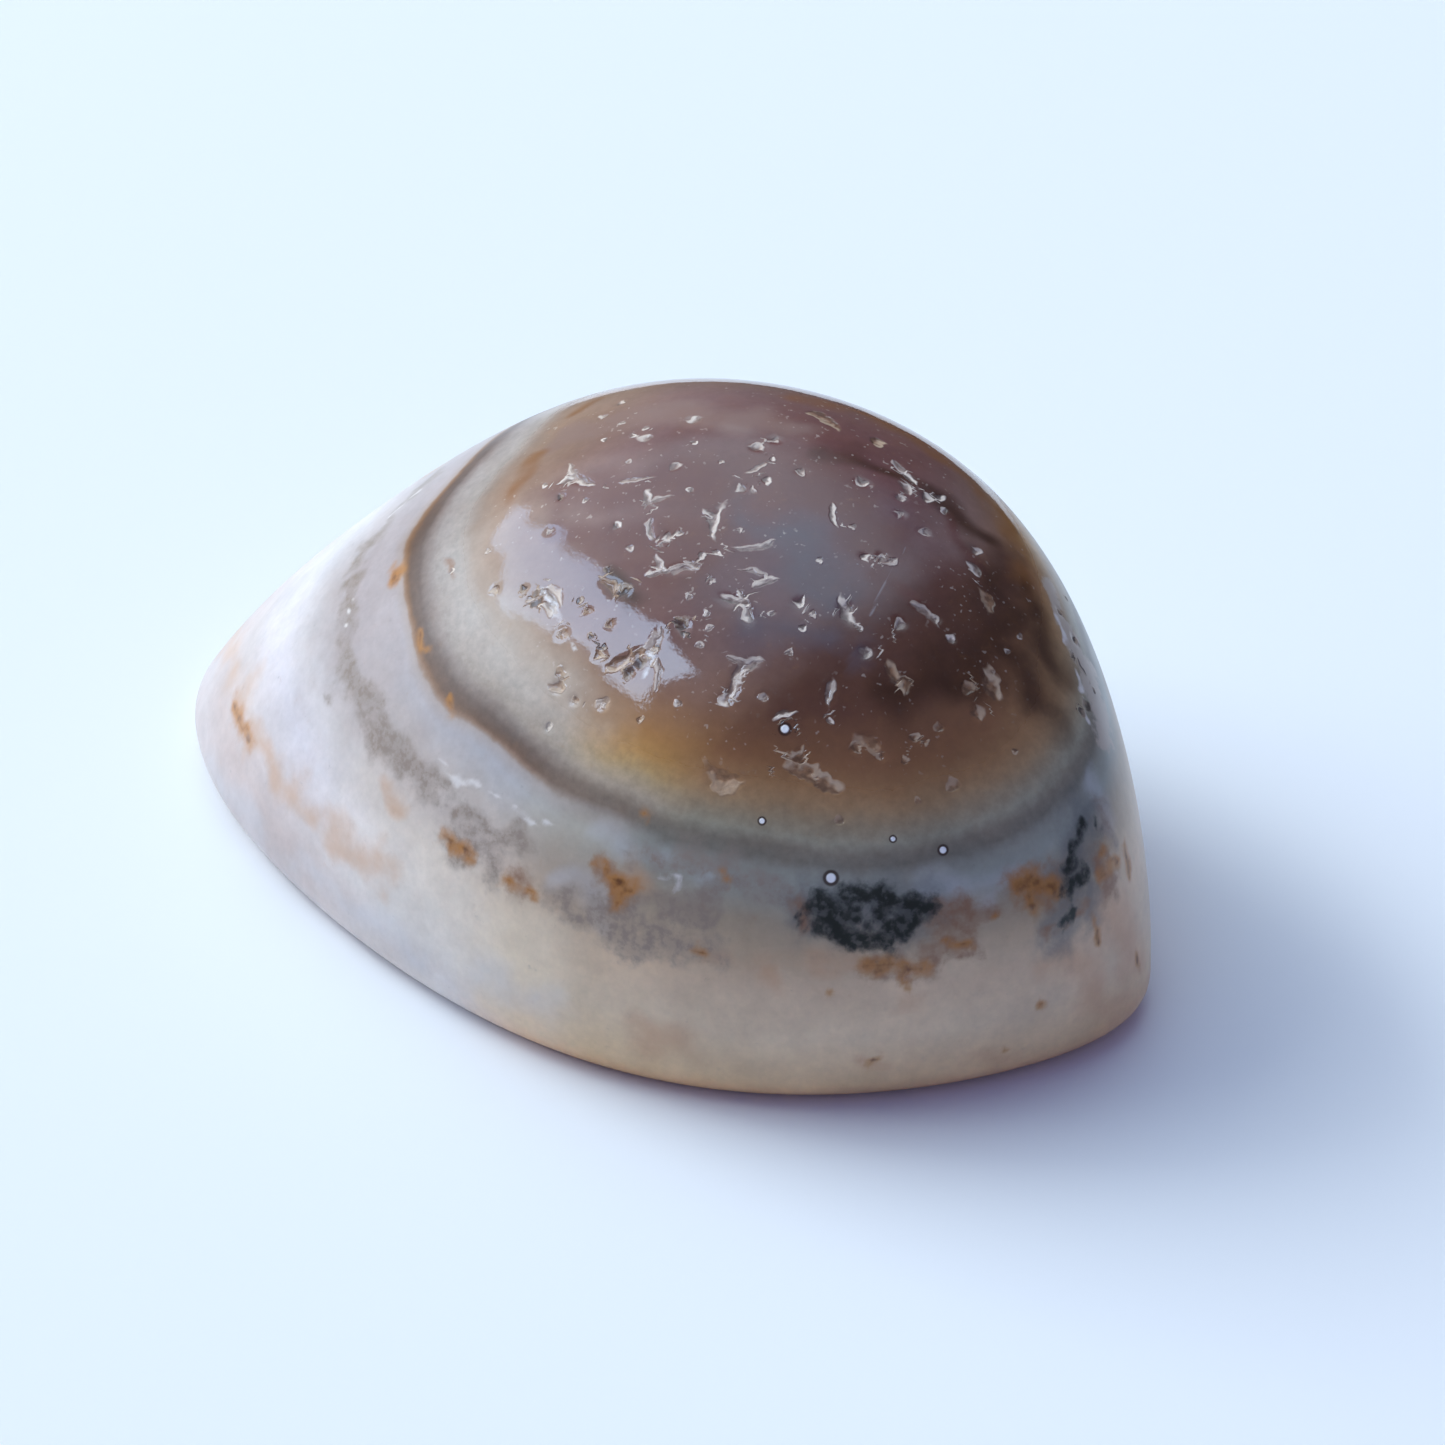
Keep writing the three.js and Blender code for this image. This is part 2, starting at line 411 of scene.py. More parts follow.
def crown_grid():
    """Direction and rise over a square grid: the square (u, v) is mapped to a disc by
    u * sqrt(1 - v * v / 2), v * sqrt(1 - u * u / 2), and the disc's radius r gives the rise
    cos(r * CROWN_REACH * pi / 2)."""
    side = np.linspace(-1, 1, CROWN_POINTS)
    u, v = np.meshgrid(side, side)
    x = u * np.sqrt(1 - v ** 2 / 2)
    y = v * np.sqrt(1 - u ** 2 / 2)
    radius = np.clip(np.hypot(x, y), 0, 1)
    return np.arctan2(y, x), np.cos(radius * CROWN_REACH * np.pi / 2)


def crown_rim():
    """Numbers of the grid's border points, in one loop round the crown, anticlockwise seen from above."""
    number = np.arange(CROWN_POINTS ** 2).reshape(CROWN_POINTS, CROWN_POINTS)
    return np.concatenate([number[0, :-1], number[:-1, -1], number[-1, :0:-1], number[:0:-1, 0]])


def stone_surface():
    """Points, in millimetres, and faces of the whole stone: the crown's grid, rings down the wall, whose
    rise goes on as cos(share * pi / 2), rings round the edge, and a fan over the base."""
    direction, rise = crown_grid()
    crown = dome_point(direction, rise).reshape(-1, 3)
    rim = crown_rim()
    around = direction.reshape(-1)[rim]
    wall_steps = np.arange(1, WALL_ROWS + 1) / WALL_ROWS
    wall_rise = np.cos(np.pi / 2 * (CROWN_REACH + (1 - CROWN_REACH) * wall_steps))
    wall = dome_point(around[None, :], wall_rise[:, None])
    turns = np.pi / 2 * np.arange(1, EDGE_ROWS + 1) / EDGE_ROWS
    edge = edge_point(around[None, :], turns[:, None])
    rings = np.concatenate([wall, edge])
    points = np.concatenate([crown, rings.reshape(-1, 3), [[0.0, 0.0, 0.0]]])

    grid = np.arange(CROWN_POINTS ** 2).reshape(CROWN_POINTS, CROWN_POINTS)
    crown_faces = np.stack([grid[:-1, :-1], grid[:-1, 1:], grid[1:, 1:], grid[1:, :-1]], -1).reshape(-1, 4)
    ring_numbers = len(crown) + np.arange(rings.shape[0] * len(rim)).reshape(-1, len(rim))
    loops = np.concatenate([rim[None, :], ring_numbers])
    upper, lower = loops[:-1], loops[1:]
    ring_faces = np.stack([lower, np.roll(lower, -1, 1), np.roll(upper, -1, 1), upper], -1).reshape(-1, 4)
    last = loops[-1]
    base_faces = np.stack([np.roll(last, -1), last, np.full_like(last, len(points) - 1)], -1)
    return points, crown_faces.tolist() + ring_faces.tolist() + base_faces.tolist()


def fit_to_frame(points):
    """Moves and stretches the points, by parts in ten thousand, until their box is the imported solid's."""
    low, high = (np.array(corner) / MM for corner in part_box(NODE))
    own_low = points.min(0)
    own_high = points.max(0)
    return (points - own_low) * (high - low) / (own_high - own_low) + low


def camera_axes():
    """Camera place in millimetres, and its right, up and forward directions."""
    place = VIEW_DISTANCE * np.array([
        math.sin(VIEW_TURN) * math.cos(VIEW_RISE),
        -math.cos(VIEW_TURN) * math.cos(VIEW_RISE),
        math.sin(VIEW_RISE),
    ])
    forward = np.array(VIEW_AIM) - place
    forward /= np.linalg.norm(forward)
    right = np.cross(forward, [0.0, 0.0, 1.0])
    right /= np.linalg.norm(right)
    return place, right, np.cross(right, forward), forward


def ease(value):
    """A smooth step from 0 to 1: s * s * (3 - 2 * s), for the value kept between them."""
    share = np.clip(value, 0, 1)
    return share * share * (3 - 2 * share)


def side_field(points):
    """-1 on the milky side of the stone, 0 in the middle and 1 on the brown side, along one level line."""
    turn = math.radians(BROWN_DIRECTION)
    along = points[:, 0] * math.cos(turn) + points[:, 1] * math.sin(turn)
    return np.clip((along - MIDDLE_PLACE) / BROWN_REACH, -1, 1)


def layer_height(points, side):
    """Height across the growth layers, in millimetres: the height, with the layers' lean, which is less
    along X in the cap, their dips at the blunt end and the back, and their rise towards the brown side."""
    x, y, z = points.T
    in_cap = ease((z - CAP_LEAN_FROM) / (CAP_LEAN_TO - CAP_LEAN_FROM))
    lean = LAYER_LEAN_X + (CAP_LEAN_X - LAYER_LEAN_X) * in_cap
    end_dip = END_DIP * ease((-x - END_DIP_FROM) / (END_DIP_TO - END_DIP_FROM))
    back_dip = BACK_DIP * ease((y - BACK_DIP_FROM) / (BACK_DIP_TO - BACK_DIP_FROM))
    back_dip *= 1 - ease((x - BACK_DIP_STOPS_FROM) / (BACK_DIP_STOPS_AT - BACK_DIP_STOPS_FROM))
    return z + lean * x + LAYER_LEAN_Y * y + end_dip + back_dip - BROWN_RISE * ease(side / RISE_DONE)


def waves(points, size, seed):
    """Cloudy numbers about 0: a sum of plane waves of about the given size, in seeded directions."""
    maker = np.random.default_rng(seed)
    turns = maker.normal(size=(3, WAVE_COUNT))
    turns *= 2 * np.pi / size * maker.uniform(*WAVE_FINENESS, WAVE_COUNT) / np.linalg.norm(turns, axis=0)
    starts = maker.uniform(0, 2 * np.pi, WAVE_COUNT)
    return np.sin(points @ turns + starts).sum(1) / math.sqrt(WAVE_COUNT / 2)


def wander(points, size, reach, seed):
    """The points, each moved by cloudy numbers in all three directions, so that marks bend and fray."""
    shift = np.stack([waves(points, size, seed + axis) for axis in range(3)], -1)
    return points + reach * shift


def photo_pixels(points):
    """Where points show in the photograph: their share of the distance along right and up, times the
    focal length in pixels, from the middle of the frame."""
    place, right, up, forward = camera_axes()
    offset = points - place
    depth = offset @ forward
    x = PHOTO_SIZE / 2 + FOCAL_PIXELS * (offset @ right) / depth
    y = PHOTO_SIZE / 2 - FOCAL_PIXELS * (offset @ up) / depth
    return np.stack([x, y], -1)


def onto_stone(pixels, points, normals):
    """Points of the stone behind pixels: the line of sight, cut by the tangent plane of the nearest point
    of the mesh that faces the camera, or that point itself where the cut lies far from it."""
    place, right, up, forward = camera_axes()
    facing = np.flatnonzero(((place - points) * normals).sum(1) > 0)
    seen = photo_pixels(points[facing])
    gaps = ((seen[None, :, :] - pixels[:, None, :]) ** 2).sum(2)
    nearest = facing[gaps.argmin(1)]
    off_x, off_y = (pixels - PHOTO_SIZE / 2).T[:, :, None]
    sight = forward + (off_x * right - off_y * up) / FOCAL_PIXELS
    reach = ((points[nearest] - place) * normals[nearest]).sum(1) / (sight * normals[nearest]).sum(1)
    found = place + reach[:, None] * sight
    far = np.linalg.norm(found - points[nearest], axis=1) > FARTHEST_LANDING
    found[far] = points[nearest][far]
    return found


def hidden_points(points, normals, layer, layers):
    """Numbers of the mesh points between two layer heights that the photograph doesn't show."""
    place = camera_axes()[0]
    away = ((place - points) * normals).sum(1) < 0
    return np.flatnonzero(away & (layer > layers[0]) & (layer < layers[1]))


def stroke_field(points, starts, ends, half_widths):
    """For each point the highest, over the strokes, of one minus the distance to the stroke as a share of
    its half width."""
    field = np.full(len(points), -1.0)
    for start, end, half_width in zip(starts, ends, half_widths):
        line = end - start
        share = np.clip((points - start) @ line / max(line @ line, SHORTEST_STROKE), 0, 1)
        gap = np.linalg.norm(points - start - share[:, None] * line, axis=1)
        field = np.maximum(field, 1 - gap / half_width)
    return field


def marks_on_stone(marks, points, normals):
    """Starts, ends and half widths of marks, in millimetres on the stone."""
    starts = onto_stone(np.array([mark[:2] for mark in marks], float), points, normals)
    ends = onto_stone(np.array([mark[-3:-1] for mark in marks], float), points, normals)
    return starts, ends, np.array([mark[-1] * MM_PER_PIXEL for mark in marks])


def marks_field(marks, points, normals, size, reach, seed, hidden=()):
    """The stroke field of marks, frayed by wandering points. On the part that the photograph doesn't show,
    seeded strokes from the hidden points carry them on."""
    starts, ends, half_widths = marks_on_stone(marks, points, normals)
    if len(hidden):
        maker = np.random.default_rng(seed)
        extra = points[maker.choice(hidden, len(marks) // 2)]
        starts = np.concatenate([starts, extra])
        ends = np.concatenate([ends, extra + maker.normal(0, HIDDEN_STRETCH, extra.shape)])
        extra_widths = maker.choice(half_widths, len(extra)) * HIDDEN_WIDENING
        half_widths = np.concatenate([half_widths, extra_widths])
    return stroke_field(wander(points, size, reach, seed), starts, ends, half_widths)


def beyond_line(points, normals, line):
    """How far points lie to the right of a line of the photograph, in millimetres, along the surface."""
    ends = onto_stone(np.array([line[:2], line[2:]], float), points, normals)
    nearest = np.linalg.norm(points - ends[0], axis=1).argmin()
    across = np.cross(ends[1] - ends[0], normals[nearest])
    return (points - ends[0]) @ (across / np.linalg.norm(across))


def tangent_frame(normal, along):
    """Unit vectors along and across on the surface, from its normal and a rough direction."""
    along = along - (along @ normal) * normal
    along /= np.linalg.norm(along)
    return along, np.cross(normal, along)


def bruise_frames(points, normals, layer):
    """Each bruise's middle, normal, directions along and across, half length, half width, bend and number.
    The whole part of the number tells its kind. Those of the photograph come first, then seeded ones on the
    part of the cap that it doesn't show."""
    maker = np.random.default_rng(BRUISE_SEED)
    seen = [mark for marks in BRUISE_KINDS for mark in marks]
    kinds = [kind for kind, marks in enumerate(BRUISE_KINDS) for mark in marks]
    starts, ends, half_widths = marks_on_stone(seen, points, normals)
    hidden = hidden_points(points, normals, layer, HIDDEN_BRUISE_LAYERS)
    extra = points[maker.choice(hidden, HIDDEN_BRUISES, replace=False)]
    starts = np.concatenate([starts, extra])
    ends = np.concatenate([ends, extra + maker.normal(0, HIDDEN_BRUISE_STRETCH, extra.shape)])
    half_widths = np.concatenate([half_widths, maker.uniform(*HIDDEN_BRUISE_WIDTHS, len(extra))])
    kinds += list(maker.integers(0, HIDDEN_BRUISE_KINDS, len(extra)))
    frames = []
    for start, end, half_width, kind in zip(starts, ends, half_widths, kinds):
        middle = (start + end) / 2
        normal = normals[np.linalg.norm(points - middle, axis=1).argmin()]
        length = np.linalg.norm(end - start)
        rough = end - start if length > SHORTEST_STROKE else maker.normal(size=3)
        along, across = tangent_frame(normal, rough)
        across = across * maker.choice((-1, 1))
        bend = 0.0 if kind == BEAD else maker.uniform(-BRUISE_BEND, BRUISE_BEND)
        number = kind + maker.uniform(*NUMBER_PART)
        frames.append((middle, normal, along, across, length / 2 + half_width, half_width, bend, number))
    return frames


def bruise_places(points, frames):
    """For each point the place in its nearest bruise: u along and v across, both 1 at its rim and v bent
    into an arc by bend * (u * u - ARC_MIDDLE), and the bruise's number. Also the reach, which is
    sqrt(u * u + v * v + w * w) with w the height over the bruise's plane in millimetres, and the depth to
    sink the point: a bowl of BRUISE_DEPTH * (1 - reach * reach) under large ones."""
    nearest = np.full(len(points), np.inf)
    places = np.zeros((len(points), 3))
    depth = np.zeros(len(points))
    for middle, normal, along, across, half_length, half_width, bend, number in frames:
        offset = points - middle
        u = offset @ along / half_length
        v = offset @ across / half_width + bend * (u * u - ARC_MIDDLE)
        reach = np.sqrt(u * u + v * v + (offset @ normal) ** 2)
        nearer = reach < nearest
        nearest[nearer] = reach[nearer]
        places[nearer] = np.stack([u, v, np.full(len(u), number)], -1)[nearer]
        if half_width > SUNK_FROM and number < BEAD:
            depth = np.maximum(depth, BRUISE_DEPTH * np.clip(1 - reach * reach, 0, 1))
    return places, np.minimum(nearest, FAR_FROM_BRUISE), depth


def new_object(name, points, faces):
    """A smooth-shaded mesh object at the origin, from points in millimetres."""
    mesh = bpy.data.meshes.new(name)
    mesh.from_pydata((points * MM).tolist(), [], faces)
    mesh.polygons.foreach_set("use_smooth", np.ones(len(mesh.polygons), bool))
    mesh.validate()
    mesh.update()
    piece = bpy.data.objects.new(name, mesh)
    bpy.context.scene.collection.objects.link(piece)
    return piece


def add_field(piece, name, values):
    """Stores one number, or one vector, for each point of the mesh, for its material to read."""
    kind = "FLOAT" if values.ndim == 1 else "FLOAT_VECTOR"
    slot = "value" if values.ndim == 1 else "vector"
    field = piece.data.attributes.new(name, kind, "POINT")
    field.data.foreach_set(slot, values.astype(np.float32).reshape(-1))


class NodeBench:
    """Adds nodes to one material or world and links them, so that a finish reads as a list of steps."""

    def __init__(self, owner):
        owner.use_nodes = True
        self.tree = owner.node_tree
        self.tree.nodes.clear()

    def add(self, kind, inputs, **settings):
        """A node of a kind with its settings. Each input is linked to an output, or set to a plain value."""
        node = self.tree.nodes.new("ShaderNode" + kind)
        for name, value in settings.items():
            setattr(node, name, value)
        for key, value in inputs.items():
            if isinstance(value, bpy.types.NodeSocket):
                self.tree.links.new(value, node.inputs[key])
            else:
                node.inputs[key].default_value = value
        return node

    def field(self, name, part="Fac"):
        """A number stored on the mesh."""
        return self.add("Attribute", {}, attribute_name=name).outputs[part]

    def vector_field(self, name):
        """The three parts of a vector stored on the mesh."""
        return self.add("SeparateXYZ", {"Vector": self.field(name, "Vector")}).outputs

    def math(self, operation, first, second=0.0, third=0.0):
        """One sum, named as Blender names it."""
        return self.add("Math", {0: first, 1: second, 2: third}, operation=operation).outputs[0]

    def times(self, first, second):
        """The product of two numbers."""
        return self.math("MULTIPLY", first, second)

    def noise(self, size_mm, detail=3.0, roughness=0.5):
        """Cloudy noise over the object, mostly between 0.4 and 0.6, with blobs of about size_mm."""
        place = self.add("TexCoord", {}).outputs["Object"]
        return self.add("TexNoise", {
            "Vector": place, "Scale": 1 / (size_mm * MM), "Detail": detail, "Roughness": roughness,
        }).outputs["Fac"]

    def span(self, value, low, high, to_low=0.0, to_high=1.0, soft=True):
        """Turns the span low to high into to_low to to_high, eased if soft, and keeps the ends."""
        return self.add("MapRange", {
            "Value": value, "From Min": low, "From Max": high, "To Min": to_low, "To Max": to_high,
        }, interpolation_type="SMOOTHSTEP" if soft else "LINEAR").outputs["Result"]

    def ramp(self, value, stops, steps=False):
        """Colours along a value, from (place, colour) pairs, in a smooth run or in steps."""
        node = self.add("ValToRGB", {"Fac": value})
        node.color_ramp.interpolation = "CONSTANT" if steps else "LINEAR"
        elements = node.color_ramp.elements
        while len(elements) < len(stops):
            elements.new(0.5)
        for element, (place, colour) in zip(elements, stops):
            element.position = place
            element.color = (*colour, 1.0)
        return node.outputs["Color"]

    def by_kind(self, number, choices):
        """One of several colours or strengths, by the whole part of a number."""
        colours = [choice if hasattr(choice, "__len__") else (choice,) * 3 for choice in choices]
        stops = [(kind / len(colours), tuple(colour)) for kind, colour in enumerate(colours)]
        return self.ramp(self.math("DIVIDE", number, len(colours)), stops, steps=True)

    def mix(self, amount, first, second):
        """The first colour, turning into the second as the amount goes from 0 to 1."""
        first, second = (
            colour if isinstance(colour, bpy.types.NodeSocket) else (*colour, 1.0)
            for colour in (first, second)
        )
        return self.add("Mix", {"Factor": amount, 6: first, 7: second}, data_type="RGBA").outputs[2]

    def tint(self, colour, amount):
        """The colour, times a number."""
        return self.add("VectorMath", {0: colour, "Scale": amount}, operation="SCALE").outputs[0]

    def dot(self, first, second):
        """The dot product of two vectors."""
        return self.add("VectorMath", {0: first, 1: second}, operation="DOT_PRODUCT").outputs["Value"]

    def bump(self, height, distance_mm, strength, normal=None):
        """A normal tilted by a height, over another normal if one is given."""
        inputs = {"Height": height, "Distance": distance_mm * MM, "Strength": strength}
        if normal is not None:
            inputs["Normal"] = normal
        return self.add("Bump", inputs).outputs["Normal"]

    def surface(self, **values):
        """The shader, fed by name, and the material's output."""
        inputs = {name.replace("_", " "): value for name, value in values.items()}
        shader = self.add("BsdfPrincipled", inputs)
        self.add("OutputMaterial", {"Surface": shader.outputs["BSDF"]})


def colour_property(name, description, default):
    """A colour that a user may change."""
    return bpy.props.FloatVectorProperty(
        name=name, description=description, default=default, size=3, min=0, max=1, subtype="COLOR")


def strength_property(name, description, default):
    """A brightness that a user may change."""
    return bpy.props.FloatProperty(name=name, description=description, default=default, min=0)


class EyeAgateColours(bpy.types.PropertyGroup):
    """Colours of the stone's marks and stains, with painted shade, highlights and reflections"""
    # The crushed stone's own whitish colour, also a painted highlight on a bruise's lit side
    chip: colour_property("Chip", "Crushed, whitish rim of a bruise", (0.80, 0.68, 0.58))
    hole: colour_property("Hole", "Shaded side of a bruise", (0.045, 0.02, 0.015))
    tan_chip: colour_property("Tan chip", "Stained inside of an older bruise", (0.36, 0.20, 0.11))
    # Drawn on a bruise's lit side only, so partly a painted highlight
    tan_rim: colour_property("Tan rim", "Rim of an older bruise", (0.62, 0.46, 0.32))
    # A painted reflection, laid on the cap as a pale mauve cloud
    veil_reflection: colour_property("Veil", "Pale mauve cloud in the cap", (0.30, 0.20, 0.17))
    wine: colour_property("Wine", "Dark red cloud in the cap", (0.145, 0.05, 0.045))
    eye: colour_property("Eye", "Bluish grey heart of the eye", (0.125, 0.10, 0.12))
    brown: colour_property("Brown", "Dark brown cloud in the cap", (0.048, 0.017, 0.008))
    amber: colour_property("Amber", "Clearer orange patches of the cap", (0.27, 0.10, 0.02))
    # A pale band beside the cap, partly a painted reflection
    pale_band_and_reflection: colour_property("Worn", "Whitish, roughened patch beside the cap", (0.54, 0.45, 0.37))
    haze: colour_property("Haze", "Blue grey ground of the mineral growth", (0.165, 0.17, 0.165))
    shadow: colour_property("Shadow", "Dark ground between the growth's black grains", (0.10, 0.105, 0.10))
    moss: colour_property("Moss", "Black mineral growth", (0.022, 0.026, 0.022))
    rust: colour_property("Rust", "Orange brown iron stain", (0.50, 0.22, 0.055))
    old_rust: colour_property("Old rust", "Dark red brown iron stain", (0.32, 0.17, 0.10))
    umber: colour_property("Umber", "Darkest grains of the iron stain", (0.17, 0.06, 0.018))
    smoke: colour_property("Smoke", "Grey brown clouds", (0.33, 0.26, 0.21))
    peach: colour_property("Peach", "Soft orange tint", (0.62, 0.36, 0.20))
    mist: colour_property("Mist", "Bluish, more see-through chalcedony", (0.62, 0.64, 0.68))
    # Thin whitish lines, some of them painted highlights of the polish
    vein_and_glint: colour_property("Vein", "Thin whitish lines", (0.85, 0.80, 0.76))


class EyeAgateStage(bpy.types.PropertyGroup):
    """Floor, world and lights"""
    floor_size: bpy.props.FloatProperty(
        name="Floor size", description="Width of the round floor", default=4.0, min=0.1, unit="LENGTH",
        subtype="DISTANCE")
    near_floor: bpy.props.FloatProperty(
        name="Near floor", description="Radius of the part that the stone mirrors", default=0.03, min=0.01,
        unit="LENGTH", subtype="DISTANCE")
    floor_colour: colour_property("Floor colour", "Colour of the pale floor", (0.88, 0.90, 0.92))
    sky: colour_property(
        "Sky", "Light from all sides, as a share of the world strength", (0.030, 0.0315, 0.066))
    glow: colour_property("Glow", "Light from behind on the left, as such a share", (0.36, 0.40, 0.44))
    overhead: colour_property("Overhead", "Light from overhead, as such a share", (0.27, 0.35, 0.40))
    mirrored_sky: colour_property(
        "Mirrored sky", "Sky in reflections, as such a share", (0.028, 0.027, 0.036))
    mirrored_window: colour_property(
        "Mirrored window", "Window in reflections, as such a share", (0.56, 0.74, 1.0))
    mirrored_room: colour_property(
        "Mirrored room", "Far room in reflections, as such a share", (0.01, 0.01, 0.012))
    window: colour_property("Window", "Colour of the window's light", (0.91, 0.99, 1.0))
    world_strength: strength_property("World strength", "Brightness that the world's shares are of", 5.0)
    key_strength: strength_property("Key strength", "Brightness of the narrow strip that lights", 12.5)
    day_strength: strength_property("Day strength", "Brightness of the broad light behind, on the left", 2.4)


# Layers from the base up, as height across the layers in millimetres and colour: on the milky side,
# in the middle, where the cap's rim is amber, and on the brown side
MILKY_LAYERS = (
    (0.7, (0.60, 0.52, 0.50)),
    (1.4, (0.62, 0.51, 0.47)),
    (2.2, (0.67, 0.59, 0.56)),
    (3.1, (0.73, 0.68, 0.70)),
    (3.7, (0.67, 0.62, 0.61)),
    (4.3, (0.56, 0.49, 0.47)),
    (4.8, (0.50, 0.43, 0.42)),
    (5.25, (0.50, 0.43, 0.42)),
    (5.43, (0.46, 0.37, 0.33)),
    (5.49, (0.33, 0.19, 0.11)),
    (5.55, (0.24, 0.13, 0.07)),
    (5.62, (0.16, 0.105, 0.08)),
    (5.80, (0.165, 0.12, 0.10)),
    (5.92, (0.27, 0.21, 0.185)),
    (6.08, (0.38, 0.32, 0.29)),
    (6.30, (0.44, 0.38, 0.345)),
    (6.50, (0.44, 0.375, 0.33)),
    (6.75, (0.36, 0.26, 0.20)),
    (6.95, (0.37, 0.245, 0.175)),
    (7.50, (0.33, 0.215, 0.16)),
    (8.10, (0.28, 0.19, 0.18)),
    (8.40, (0.25, 0.16, 0.15)),
)
MIDDLE_LAYERS = (
    (0.9, (0.78, 0.71, 0.64)),
    (1.6, (0.74, 0.69, 0.65)),
    (2.2, (0.81, 0.75, 0.67)),
    (3.0, (0.85, 0.75, 0.63)),
    (3.7, (0.78, 0.67, 0.55)),
    (4.3, (0.65, 0.56, 0.49)),
    (4.8, (0.62, 0.55, 0.49)),
    (5.25, (0.56, 0.55, 0.56)),
    (5.45, (0.52, 0.46, 0.43)),
    (5.53, (0.36, 0.24, 0.17)),
    (5.60, (0.21, 0.135, 0.095)),
    (5.78, (0.19, 0.14, 0.115)),
    (5.92, (0.30, 0.245, 0.205)),
    (6.12, (0.44, 0.37, 0.30)),
    (6.45, (0.51, 0.44, 0.37)),
    (6.85, (0.53, 0.42, 0.33)),
    (7.05, (0.39, 0.26, 0.18)),
    (7.30, (0.26, 0.145, 0.11)),
    (7.70, (0.19, 0.09, 0.075)),
    (8.40, (0.16, 0.065, 0.06)),
)
AMBER_LAYERS = (
    (1.2, (0.80, 0.50, 0.28)),
    (1.7, (0.80, 0.62, 0.42)),
    (2.7, (0.82, 0.68, 0.49)),
    (3.7, (0.79, 0.65, 0.48)),
    (4.2, (0.62, 0.48, 0.35)),
    (4.7, (0.50, 0.41, 0.32)),
    (5.25, (0.50, 0.47, 0.39)),
    (5.48, (0.41, 0.36, 0.31)),
    (5.62, (0.25, 0.195, 0.15)),
    (5.78, (0.26, 0.205, 0.155)),
    (6.00, (0.48, 0.39, 0.29)),
    (6.20, (0.53, 0.40, 0.24)),
    (6.35, (0.54, 0.35, 0.155)),
    (6.55, (0.52, 0.28, 0.09)),
    (6.80, (0.43, 0.215, 0.08)),
    (7.20, (0.28, 0.155, 0.105)),
    (7.70, (0.22, 0.135, 0.12)),
    (8.40, (0.135, 0.065, 0.08)),
)
BROWN_LAYERS = (
    (1.2, (0.76, 0.46, 0.22)),
    (1.7, (0.80, 0.59, 0.34)),
    (2.7, (0.755, 0.60, 0.41)),
    (3.7, (0.73, 0.55, 0.37)),
    (4.3, (0.60, 0.47, 0.32)),
    (4.8, (0.44, 0.36, 0.26)),
    (5.25, (0.39, 0.41, 0.36)),
    (5.5, (0.33, 0.33, 0.28)),
    (5.66, (0.22, 0.205, 0.165)),
    (5.80, (0.25, 0.22, 0.17)),
    (5.95, (0.37, 0.34, 0.25)),
    (6.15, (0.36, 0.28, 0.18)),
    (6.35, (0.40, 0.25, 0.13)),
    (6.55, (0.36, 0.19, 0.085)),
    (6.80, (0.25, 0.115, 0.056)),
    (7.15, (0.13, 0.055, 0.036)),
    (7.50, (0.12, 0.052, 0.036)),
    (8.30, (0.115, 0.042, 0.045)),
)

# How each list of layers takes over from the one before as the side field grows: where it sets in, and
# where it is full
LAYER_CHANGES = (
    (MIDDLE_LAYERS, -1.0, 0.0),
    (AMBER_LAYERS, NO_AMBER, ALL_AMBER),
    (BROWN_LAYERS, ALL_AMBER, ALL_BROWN),
)

# Stains, and the painted reflections and highlights among them, from the lowest up: field, size in
# millimetres, spread and detail of the noise that tears their edges, the shifted field's values where the
# stain sets in and is full, and its strength
CAP_CLOUDS_AND_REFLECTION = (
    # A painted reflection, laid on the cap as a pale mauve cloud
    ("veil_reflection", 1.0, 1.4, 4.0, -0.4, 0.8, 0.75),
    ("wine", 1.0, 1.6, 4.0, -0.5, 0.9, 0.80),
    ("brown", 1.0, 1.4, 4.0, -0.8, 1.0, 0.88),
    ("amber", 0.7, 1.4, 4.0, -1.4, 1.1, 0.60),
    ("eye", 1.1, 1.4, 4.0, -0.4, 0.9, 0.88),
)
WALL_TINTS_AND_REFLECTION = (
    # A pale band, partly a painted reflection
    ("pale_band_and_reflection", 0.20, 1.6, 3.0, -0.25, 0.30, 0.80),
    ("mist", 0.8, 1.8, 4.0, -0.7, 1.2, 0.38),
    ("peach", 0.6, 2.0, 4.0, -0.6, 1.1, 0.60),
)
SMOKE_STAIN = ("smoke", 0.30, 2.2, 5.0, -0.7, 0.7, 0.90)
WALL_VEILS_AND_HIGHLIGHTS = (
    # Thin whitish lines, some of them painted highlights
    ("vein_and_glint", 0.20, 1.2, 4.0, -0.2, 0.8, 0.70),
    ("haze", 0.30, 1.8, 5.0, -0.9, 1.0, 0.78),
)
OLD_RUST_STAIN = ("old_rust", 0.24, 2.2, 4.0, -0.7, 0.8, 0.90)
RUST_STAIN = ("rust", 0.24, 1.5, 3.0, -0.9, 0.9, 0.90)
MOSS_GROUND = ("moss", 0.22, 2.2, 4.0, -0.7, 0.6, 0.70)

# The middle of all noise, and the roughness of the noise that shifts fields
NOISE_MIDDLE = 0.5
SHIFT_ROUGHNESS = 0.6

# Size, spread and, but for the side field's, detail of the noises that shift the layer height, one after the
# other, and the side field
LAYER_SWAY = (3.5, 0.25, 2.0)
LAYER_FRAY = (0.6, 0.16, 4.0)
SIDE_SWAY = (2.5, 0.4)

# Clouds all over the layers: size, detail and roughness of their noise, its values at the darkest and the
# brightest, and how bright those are
CLOUD_NOISE = (1.6, 6.0, 0.62)
CLOUD_SPAN = (0.3, 0.7, 0.91, 1.09)

